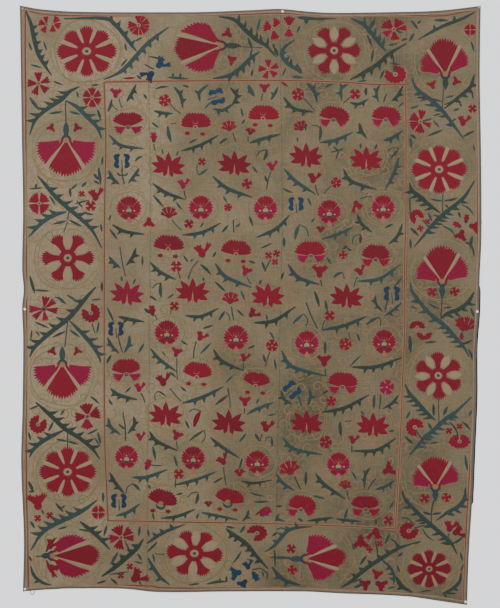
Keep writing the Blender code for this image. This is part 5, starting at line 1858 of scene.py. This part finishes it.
        self.add(Silk.TEAL, ribbon(bulb, (0.8, 4.6, 6.4, 5.0, 1.0), 0.9, tone, 14, 7, 0.2))
        heart = spot + ahead * flower.ahead * 0.32
        self.medallion(float(heart[0]), float(heart[1]), 34)

    def medallion(self, x: float, y: float, radius: float) -> None:
        """Lays two thin faded rings round a border flower, the outer one ochre."""
        for silk, far, width in ((Silk.OLIVE, radius - 2.5, 1.2), (Silk.OCHRE, radius + 0.5, 1.0)):
            self.ring(x, y, far, far * 0.96, width, silk)

    def ring(
        self, x: float, y: float, reach_x: float, reach_y: float, width: float, silk: Silk
    ) -> None:
        """Lays a thin oval ring, a little uneven as hand work is.

        Args:
            x: chart column of its middle.
            y: chart row of its middle.
            reach_x: radius across.
            reach_y: radius down.
            width: the line's width in chart steps.
            silk: its silk.
        """
        tone = self.next_tone()
        angle = np.linspace(0, 2 * np.pi, 41)
        uneven = 1 + 0.03 * np.sin(3 * angle + 9 * tone) + 0.02 * np.sin(5 * angle + 4 * tone)
        spots = np.stack([x + reach_x * uneven * np.cos(angle), y + reach_y * uneven
            * np.sin(angle)], axis=-1)
        keep = within(spots[:, 0], spots[:, 1], 6.5)
        starts = np.flatnonzero(keep & ~np.roll(keep, 1))
        if len(starts) != 1:
            spots = spots[keep]
        else:
            spots = np.roll(spots[:-1], -int(starts[0]), axis=0)
            spots = spots[within(spots[:, 0], spots[:, 1], 6.5)]
        if len(spots) > 8:
            self.add(silk, ribbon(spots, (width,) * 4, silk.height(), tone, 70, 3))

    def work(self) -> None:
        """Works the whole design, ground lines first."""
        self.curls()
        for flower in (*STARS, *ROUNDS):
            high = 7.0 if isinstance(flower, StarFlower) else 0.0
            self.ring(flower.x, flower.y - high, 17.6, 16.4, 1.2, Silk.OLIVE)
            self.ring(flower.x, flower.y - high, 20.4, 19.0, 1.0, Silk.OCHRE)
        for flower in HALVES:
            middle = (flower.x0 + flower.x1) / 2
            self.ring(middle, (flower.top + flower.eye_y) / 2 + 2, 18.4, 13.5, 1.1, Silk.OLIVE)
            self.ring(middle, (flower.top + flower.eye_y) / 2 + 2, 20.6, 16.0, 0.9, Silk.OCHRE)
        for run in FRAME_RUNS:
            tone = self.next_tone()
            count = 12 * len(run.points)
            self.add(Silk.ROSE, ribbon(run.points, (2.8,) * 4, 0.25, tone, count, 5))
            self.add(run.silk, ribbon(run.points, (run.width,) * 4, 0.7, tone, count, 5, 0.2))
        for branch in FIELD_BRANCHES:
            spots = ((branch.x0, branch.y0), (branch.x1, branch.y1), (branch.x2, branch.y2))
            self.thorned(spots, branch.width, branch.thorns, branch.reach)
        for vine in VINES:
            self.thorned(vine.points, vine.width, vine.thorns, vine.reach, vine.sweep)
        for leaf in (*FIELD_LEAVES, *BORDER_LEAVES):
            self.leaf(leaf, Silk.TEAL)
        for leaf in (*STEMS, *BORDER_STEMS):
            self.leaf(leaf, Silk.TEAL, 0.1)
        for leaf in RED_LEAVES:
            self.leaf(leaf, Silk.CRIMSON)
        for flower in (*FIELD_FLOWERS, *BORDER_FLOWERS):
            self.small_flower(flower)
        for flower in OPEN_FLOWERS:
            self.open_flower(flower)
        for flower in PETAL_FLOWERS:
            self.petal_flower(flower)
        for flower in IRISES:
            self.iris(flower)
        for flower in STARS:
            self.star(flower)
        for flower in ROUNDS:
            self.round_flower(flower)
        for flower in HALVES:
            self.half_carnation(flower)
        for flower in ROSETTES:
            self.rosette(flower)
        for flower in FANS:
            self.fan(flower)

    def build(self) -> list[bpy.types.Object]:
        """Turns each silk's patches into one object lying on the cloth.

        A chart place becomes X and Z by the chart's step; Y is the cloth's front less the rise.

        Returns:
            The objects.
        """
        made = []
        for silk, patches in self.patches.items():
            if not patches:
                continue
            spots = np.concatenate([p.spots.reshape(-1, 2) for p in patches])
            rise = np.concatenate([p.rise.reshape(-1) for p in patches]) * MM
            threads = np.concatenate([p.threads.reshape(-1, 2) for p in patches]) * CHART_STEP
            tone = np.concatenate([np.full(p.rise.size, p.tone) for p in patches])
            starts = np.cumsum([0] + [p.rise.size for p in patches])
            quads = np.concatenate([grid_quads(*p.rise.shape) + s for p,
                s in zip(patches, starts)])
            x = (spots[:, 0] - CHART_MIDDLE) * CHART_STEP
            z = (CHART_TOP - spots[:, 1]) * CHART_STEP
            y = -(stand_off(x, z) + CLOTH_FRONT + rise)
            quads = face_forward(np.stack([x, z], axis=-1), quads)
            piece = make_piece(f"stitches_{silk.name.lower()}", np.stack([x, y, z], axis=-1),
                quads, silk.value.build(), threads, {"tone": tone})
            made.append(piece)
        return made


def face_forward(places: np.ndarray, quads: np.ndarray) -> np.ndarray:
    """Turns round the quads that would face away from the front.

    A quad whose corners go anticlockwise in X and Z, seen from the front, faces the front: the sign
    of half the cross product of its diagonals tells.

    Args:
        places: x and z of each point.
        quads: four point numbers a quad.

    Returns:
        The quads, all facing the front.
    """
    a, b = places[quads[:, 2]] - places[quads[:, 0]], places[quads[:, 3]] - places[quads[:, 1]]
    back = a[:, 0] * b[:, 1] - a[:, 1] * b[:, 0] < 0
    turned = quads.copy()
    turned[back] = quads[back][:, ::-1]
    return turned


def make_piece(
    name: str,
    vertices: np.ndarray,
    faces: list | np.ndarray,
    material: bpy.types.Material,
    threads: np.ndarray | None = None,
    values: dict[str, np.ndarray] | None = None,
) -> bpy.types.Object:
    """Makes a smooth-shaded object from points and faces, riding on the frame's one body.

    Args:
        name: the object's name.
        vertices: points, one row each.
        faces: point numbers of each face.
        material: its material.
        threads: thread coordinates of each point, in metres.
        values: named values of each point.

    Returns:
        The object.
    """
    mesh = bpy.data.meshes.new(name)
    faces = faces.tolist() if isinstance(faces, np.ndarray) else faces
    mesh.from_pydata(np.asarray(vertices, float).tolist(), [], faces)
    mesh.polygons.foreach_set("use_smooth", np.ones(len(mesh.polygons), bool))
    if threads is not None:
        layer = mesh.uv_layers.new(name="threads")
        corner = np.empty(len(mesh.loops), np.int32)
        mesh.loops.foreach_get("vertex_index", corner)
        layer.data.foreach_set("uv", np.asarray(threads, np.float32)[corner].ravel())
    for key, value in (values or {}).items():
        attribute = mesh.attributes.new(key, "FLOAT", "POINT")
        attribute.data.foreach_set("value", np.asarray(value, np.float32))
    mesh.materials.append(material)
    mesh.update()
    piece = bpy.data.objects.new(name, mesh)
    bpy.context.scene.collection.objects.link(piece)
    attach(piece, "root")
    return piece


def slab(
    across: np.ndarray, down: np.ndarray, front: np.ndarray, back: np.ndarray
) -> tuple[np.ndarray, list]:
    """A closed sheet: a front grid, a back grid, and a rim between them.

    Args:
        across: shares across, a grid.
        down: shares down, a grid.
        front: the front's depths.
        back: the back's depths.

    Returns:
        Points and faces.
    """
    rows, columns = across.shape
    points = np.concatenate([on_cloth(across, down, front).reshape(-1, 3),
        on_cloth(across, down, back).reshape(-1, 3)])
    quads = grid_quads(rows, columns)
    number = np.arange(rows * columns).reshape(rows, columns)
    ring = np.concatenate([number[0, :-1], number[:-1, -1], number[-1, :0:-1], number[:0:-1, 0]])
    after = np.roll(ring, -1)
    behind = rows * columns
    rim = np.stack([ring, after, after + behind, ring + behind], axis=-1)
    return points, np.concatenate([quads, quads[:, ::-1] + behind, rim]).tolist()


@dataclass
class Cloth:
    """The ground cloth: four loom widths sewn side by side, each a thin closed sheet."""

    inset: float = 2.3 * MM
    seam_gap: float = 0.3 * MM
    rows: int = 230
    cell: float = 9.0 * MM
    dip: float = 0.7 * MM

    def widths(self) -> list[tuple[float, float]]:
        """The loom widths' edges as shares across."""
        edges = [0.0, *SEAMS, 1.0]
        first, gap = self.inset / WIDTH, self.seam_gap / WIDTH / 2
        pairs = []
        for k in range(4):
            low = edges[k] + (first if k == 0 else gap)
            high = edges[k + 1] - (first if k == 3 else gap)
            pairs.append((low, high))
        return pairs

    def build(self, stitches: list[bpy.types.Object]) -> list[bpy.types.Object]:
        """Makes the widths: each dips to its seams, as cloth does under a tight seam.

        Args:
            stitches: the embroidery that lies on the cloth; not used.

        Returns:
            The four widths.
        """
        finish = GroundCotton().build()
        made = []
        trim = self.inset / HEIGHT
        for k, (low, high) in enumerate(self.widths()):
            near = np.array([0.0, 0.7, 1.6, 3.0]) * MM / WIDTH
            count = int((high - low) * WIDTH / self.cell)
            middle = np.linspace(low + 6 * MM / WIDTH, high - 6 * MM / WIDTH, count)
            shares = np.concatenate([low + near, middle, (high - near)[::-1]])
            across, down = np.meshgrid(shares, np.linspace(trim, 1 - trim, self.rows))
            edge = np.minimum(across - low, high - across) * WIDTH
            front = CLOTH_FRONT - self.dip * np.exp(-((edge / (2.2 * MM)) ** 2))
            points, faces = slab(across, down, front, np.full_like(across, CLOTH_BACK))
            name = f"cotton_width_{k + 1}"
            piece = make_piece(name, points, faces, finish)
            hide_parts(f"cloth_width_{k + 1}")
            made.append(piece)
        return made


@dataclass
class SeamSewing:
    """Overcast stitches that join the loom widths, in a yarn near the cloth's colour."""

    pitch: float = 11.0 * MM
    reach: float = 3.4 * MM
    finish: WovenCotton = WovenCotton("sewing_yarn", "#685940", "#584A37", "#756448")

    def build(self) -> bpy.types.Object:
        """Makes one piece of all the stitches: short slanting ribbons across each seam."""
        points, quads, total = [], [], 0
        across_share = np.linspace(-1, 1, 5)
        count = int(HEIGHT / self.pitch)
        slant = 0.35 * self.pitch / HEIGHT
        width = 0.7 * MM / HEIGHT
        for seam in SEAMS:
            downs = np.linspace(0.012, 0.988, count)[:, None, None]
            a = seam + across_share[None, :, None] * self.reach / WIDTH
            d = downs + across_share[None, :, None] * slant
            d = d + np.array([-1.0, 0.0, 1.0])[None, None, :] * width
            a = np.broadcast_to(a, d.shape)
            arch = np.array([0.0, 1.0, 0.0])[None, None, :] * np.ones_like(d)
            end = (1 - across_share[None, :, None] ** 4) * np.ones_like(d)
            depth = CLOTH_FRONT + (0.5 * arch * end - 0.1) * MM
            points.append(on_cloth(a, d, depth).reshape(-1, 3))
            grid = grid_quads(5, 3)
            for k in range(count):
                quads.append(grid + total + k * 15)
            total += count * 15
        vertices = np.concatenate(points)
        faces = face_forward(vertices[:, [0, 2]], np.concatenate(quads))
        return make_piece("seam_stitches", vertices, faces, self.finish.build())


@dataclass
class Edging:
    """The folded tape: a hooked section carried along each edge of the cloth."""

    # Distances in from the edge and depths from the lining's back, in millimetres.
    section: tuple[tuple[float, float], ...] = ((14.5, 1.3), (3.2, 1.3), (0.7, 1.4), (0, 2.3),
        (0, 4.8), (0.7, 5.8), (2.6, 6.0), (3.4, 5.4), (14.5, 5.4), (14.5, 4.4), (2, 4.4), (2,
        2.3), (14.5, 2.3))
    rows: int = 240
    # How far in from the edge, in millimetres, the edge's grey and painted shade reach.
    edge_grey_and_shade: float = 6.5

    def rounded(self) -> np.ndarray:
        """The section with each corner cut twice, at a sixth and five sixths of its sides."""
        ring = np.array(self.section)
        for share in (0.12, 0.2):
            after = np.roll(ring, -1, axis=0)
            pair = np.stack([ring + share * (after - ring), after - share * (after - ring)], axis=1)
            ring = pair.reshape(-1, 2)
        return ring

    def strip(self, node: str, name: str, finish: bpy.types.Material) -> bpy.types.Object:
        """Makes the tape that stands for one node.

        The section's distance in becomes a share across at the sides, or down at the ends.

        Args:
            node: the tape's node.
            name: the piece's name.
            finish: its material.

        Returns:
            The piece.
        """
        ring = self.rounded()
        upright = node in ("edging_left", "edging_right")
        trim = 0.0 if upright else (14.5 + 0.3) * MM / WIDTH
        along = np.linspace(trim, 1 - trim, self.rows)[:, None]
        inward = ring[None, :, 0] * MM / (WIDTH if upright else HEIGHT)
        inward = inward + 0 * along
        if node in ("edging_right", "edging_foot"):
            inward = 1 - inward
        along = along + 0 * inward
        across, down = (inward, along) if upright else (along, inward)
        depth = ring[None, :, 1] * MM + 0 * along
        points = on_cloth(across, down, depth).reshape(-1, 3)
        sides = len(ring)
        quads = grid_quads(self.rows, sides, wrap=True).tolist()
        first = list(range(sides))
        last = [(self.rows - 1) * sides + k for k in range(sides)]
        faces = [*quads, first, last[::-1]]
        # Marks the outer points, which take the edge's grey and painted shade.
        edge_grey_and_shade = (ring[:, 0] < self.edge_grey_and_shade).astype(float)[None, :] + np.zeros((self.rows, 1))
        piece = make_piece(name, points, faces, finish, None, {"edge_grey_and_shade": edge_grey_and_shade.ravel()})
        turn_outwards(piece)
        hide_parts(node)
        return piece

    def build(self) -> list[bpy.types.Object]:
        """Makes the four tapes."""
        finish = FoldedTape().build()
        return [self.strip(f"edging_{side}", f"tape_{side}", finish)
            for side in ("left", "right", "top", "foot")]


def turn_outwards(piece: bpy.types.Object) -> None:
    """Reverses every face of a closed piece whose signed volume is negative."""
    mesh = piece.data
    mesh.calc_loop_triangles()
    corners = np.empty(len(mesh.loop_triangles) * 3, np.int32)
    mesh.loop_triangles.foreach_get("vertices", corners)
    places = np.empty(len(mesh.vertices) * 3)
    mesh.vertices.foreach_get("co", places)
    a, b, c = places.reshape(-1, 3)[corners.reshape(-1, 3)].transpose(1, 0, 2)
    if np.einsum("ij,ij->i", a, np.cross(b, c)).sum() < 0:
        mesh.flip_normals()
    mesh.update()


@dataclass
class Lining:
    """The dark backing cloth, which shows past the edge along the right side's lower middle."""

    inset: float = 4.0 * MM
    proud: float = 5.5 * MM
    start: tuple[float, float] = (0.459, 0.474)
    end: tuple[float, float] = (0.829, 0.834)
    finish: WovenCotton = WovenCotton("dark_lining_cotton", "#18171E", "#1F1E25", "#2A2729")

    def build(self) -> bpy.types.Object:
        """Makes the sheet: its right edge moves out and back along straight ramps."""
        down_shares = np.linspace(self.inset / HEIGHT, 1 - self.inset / HEIGHT, 160)
        places = [0, *self.start, *self.end, 1]
        out = np.interp(down_shares, places, [0, 0, 1, 1, 0, 0])
        right = 1 - self.inset / WIDTH + out * (self.inset + self.proud) / WIDTH
        share = np.linspace(0, 1, 110)[None, :]
        left = self.inset / WIDTH
        across = left + share * (right[:, None] - left)
        down = down_shares[:, None] + 0 * across
        front = np.full_like(across, LINING_FRONT)
        points, faces = slab(across, down, front, np.zeros_like(across))
        piece = make_piece("lining_sheet", points, faces, self.finish.build())
        turn_outwards(piece)
        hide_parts("lining")
        return piece


@dataclass
class CornerLoop:
    """The small loop of twisted cord under the lower left corner."""

    across: float = 0.0215
    cord: float = 3.6 * MM
    span: float = 14.0 * MM
    drop: float = 16.0 * MM
    depth: float = 3.5 * MM
    start: float = 0.5 * MM
    sides: int = 14
    twist_pitch: float = 5.0 * MM
    finish: WovenCotton = WovenCotton("twisted_cord", "#75675A", "#655749", "#807264", 1.6)

    def build(self) -> bpy.types.Object:
        """Carries a two-lobed twisting section along a U.

        The radius at an angle is the cord's, less a tenth where the two strands meet, and the angle
        of that meeting turns once for each twist.
        """
        x, z = place(np.float64(self.across), np.float64(1.0))
        y = -(stand_off(x, z) + self.depth)
        radius = self.span / 2
        top = z - CLEARANCE - self.start
        middle = z - self.drop + self.cord / 2 + radius
        turn = math.pi * (1 + np.linspace(0, 1, 33))
        line = np.stack([x + radius * np.cos(turn), middle + radius * np.sin(turn)], axis=-1)
        legs = np.linspace(0, 1, 6)[:-1, None]
        first = np.array([x - radius, top]) * (1 - legs) + line[0] * legs
        last = (np.array([x + radius, top]) * (1 - legs) + line[-1] * legs)[::-1]
        line = np.concatenate([first, line, last])
        run = np.gradient(line, axis=0)
        run = run / np.linalg.norm(run, axis=1, keepdims=True)
        side = np.stack([-run[:, 1], run[:, 0]], axis=-1)
        length = np.concatenate([[0], np.cumsum(np.linalg.norm(np.diff(line, axis=0), axis=1))])
        angle = np.linspace(0, 2 * np.pi, self.sides, endpoint=False)[None, :]
        phase = 2 * np.pi * length[:, None] / self.twist_pitch
        r = self.cord / 2 * (1 - 0.1 * np.cos(angle - phase) ** 4)
        out, forward = r * np.cos(angle), r * np.sin(angle)
        points = np.stack([line[:, 0:1] + side[:, 0:1] * out, y + forward, line[:, 1:2]
            + side[:, 1:2] * out], axis=-1)
        rows = len(line)
        ends = [list(range(self.sides)), [rows * self.sides - 1 - k for k in range(self.sides)]]
        faces = grid_quads(rows, self.sides, wrap=True).tolist() + ends
        piece = make_piece("hanging_loop", points.reshape(-1, 3), faces, self.finish.build())
        turn_outwards(piece)
        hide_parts("corner_loop")
        return piece


@dataclass
class PushPins:
    """The seven pins: a domed head and a thin shank, each turned about its own middle."""

    head_radius: float = 4.8 * MM
    head_height: float = 2.9 * MM
    shank_radius: float = 0.55 * MM
    shank_end: float = 8.0 * MM
    point: float = 3.0 * MM
    sides: int = 36
    dome: tuple[tuple[float, float], ...] = ((0.94, 0.0), (1.0, 0.06), (1.0, 0.25), (0.96, 0.42),
        (0.9, 0.56), (0.8, 0.72), (0.64, 0.85), (0.45, 0.94), (0.22, 0.985), (0.0, 1.0))
    white: PinFinish = PinFinish("moulded_white_enamel", "#E8E8E6", "#C9C8C4", 0.0, 0.32)
    steel: PinFinish = PinFinish("dull_drawn_steel", "#8C8A86", "#6E6A64", 1.0, 0.45)

    def build(self) -> list[bpy.types.Object]:
        """Spins each pin's profile: the radius and depth of its points, turned through a circle."""
        finishes = {PinHead.WHITE: self.white.build(), PinHead.STEEL: self.steel.build()}
        made = []
        for pin in PINS:
            x, z = place(np.float64(pin.across), np.float64(pin.down))
            back = float(stand_off(x, z)) + EDGING_FRONT + CLEARANCE
            profile = [(0.0, -self.shank_end), (self.shank_radius, self.point - self.shank_end)]
            profile.append((self.shank_radius, back))
            dome = [(self.head_radius * r, back + self.head_height * h) for r, h in self.dome]
            ring = np.array([*profile, *dome])
            angle = np.linspace(0, 2 * np.pi, self.sides, endpoint=False)[None, :]
            radius, depth = ring[:, 0:1], ring[:, 1:2]
            points = np.stack([x + radius * np.cos(angle), -depth + 0 * angle, z + radius
                * np.sin(angle)], -1)
            faces = grid_quads(len(ring), self.sides, wrap=True).tolist()
            name = pin.node.replace("push_pin", "pin")
            piece = make_piece(name, points.reshape(-1, 3), faces, finishes[pin.head])
            merge_poles(piece)
            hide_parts(pin.node)
            made.append(piece)
        return made


def merge_poles(piece: bpy.types.Object) -> None:
    """Welds the points of a spun piece that share a place, and turns its faces outwards."""
    shape = bmesh.new()
    shape.from_mesh(piece.data)
    bmesh.ops.remove_doubles(shape, verts=shape.verts, dist=1e-6)
    bmesh.ops.recalc_face_normals(shape, faces=shape.faces)
    shape.to_mesh(piece.data)
    shape.free()


@dataclass
class Studio:
    """The plain floor, the soft lights, the even surroundings and the camera."""

    surround: str = "#D4D5D9"
    camera_place: tuple[float, float, float] = (-0.0016, -5.0, -1.1454)
    lens: float = 75.9

    def floor(self) -> bpy.types.Object:
        """A pale matt floor under the hanging."""
        mesh = bpy.data.meshes.new("studio_floor")
        low, high, near, far = -2.0, 2.0, -2.6, 0.45
        corners = [(low, near, -2.45), (high, near, -2.45), (high, far, -2.45), (low, far, -2.45)]
        mesh.from_pydata(corners, [], [(0, 1, 2, 3)])
        made = new_material("pale_matt_floor")
        tint = blend_colours(made, noise(made, 300.0), "#CFCFCC", "#C8C8C5")
        close_material(made, {"Roughness": 0.9}, {"Base Color": tint})
        mesh.materials.append(made)
        floor = bpy.data.objects.new("studio_floor", mesh)
        bpy.context.scene.collection.objects.link(floor)
        return floor

    def light(
        self, name: str, spot: tuple[float, float, float], size: float, power: float
    ) -> None:
        """Adds a soft square light aimed at the middle of the hanging."""
        data = bpy.data.lights.new(name, "AREA")
        data.shape, data.size, data.energy = "SQUARE", size, power
        lamp = bpy.data.objects.new(name, data)
        lamp.location = spot
        aim = mathutils.Vector((0.0, 0.0, -1.15)) - lamp.location
        lamp.rotation_euler = aim.to_track_quat("-Z", "Y").to_euler()
        bpy.context.scene.collection.objects.link(lamp)

    def build(self) -> None:
        """Sets up the surroundings, the lights, the floor and the camera."""
        world = bpy.data.worlds.new("even_surroundings")
        world.use_nodes = True
        sky = world.node_tree.nodes["Background"]
        sky.inputs["Color"].default_value = linear(self.surround)
        sky.inputs["Strength"].default_value = 2.45
        bpy.context.scene.world = world
        self.light("key_light", (-2.6, -4.2, 1.4), 2.4, 40.0)
        self.light("fill_light", (2.8, -4.4, 0.2), 2.8, 12.0)
        self.floor()
        data = bpy.data.cameras.new("photo_camera")
        data.lens, data.sensor_width = self.lens, 36.0
        data.dof.use_dof = False
        camera = bpy.data.objects.new("photo_camera", data)
        camera.location = self.camera_place
        camera.rotation_euler = (math.pi / 2, 0.0, 0.0)
        bpy.context.scene.collection.objects.link(camera)
        bpy.context.scene.camera = camera


def main() -> None:
    """Builds the hanging and its studio in order, and reports each piece."""
    logging.basicConfig(level=logging.INFO, format="%(name)s: %(message)s")
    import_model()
    Studio().build()
    embroidery = Embroidery()
    embroidery.work()
    pieces = embroidery.build()
    pieces += Cloth().build(pieces)
    pieces.append(SeamSewing().build())
    pieces += Edging().build()
    pieces.append(Lining().build())
    pieces.append(CornerLoop().build())
    pieces += PushPins().build()
    for piece in pieces:
        LOG.info("%s: %d faces", piece.name, len(piece.data.polygons))


if __name__ == "__main__":
    main()
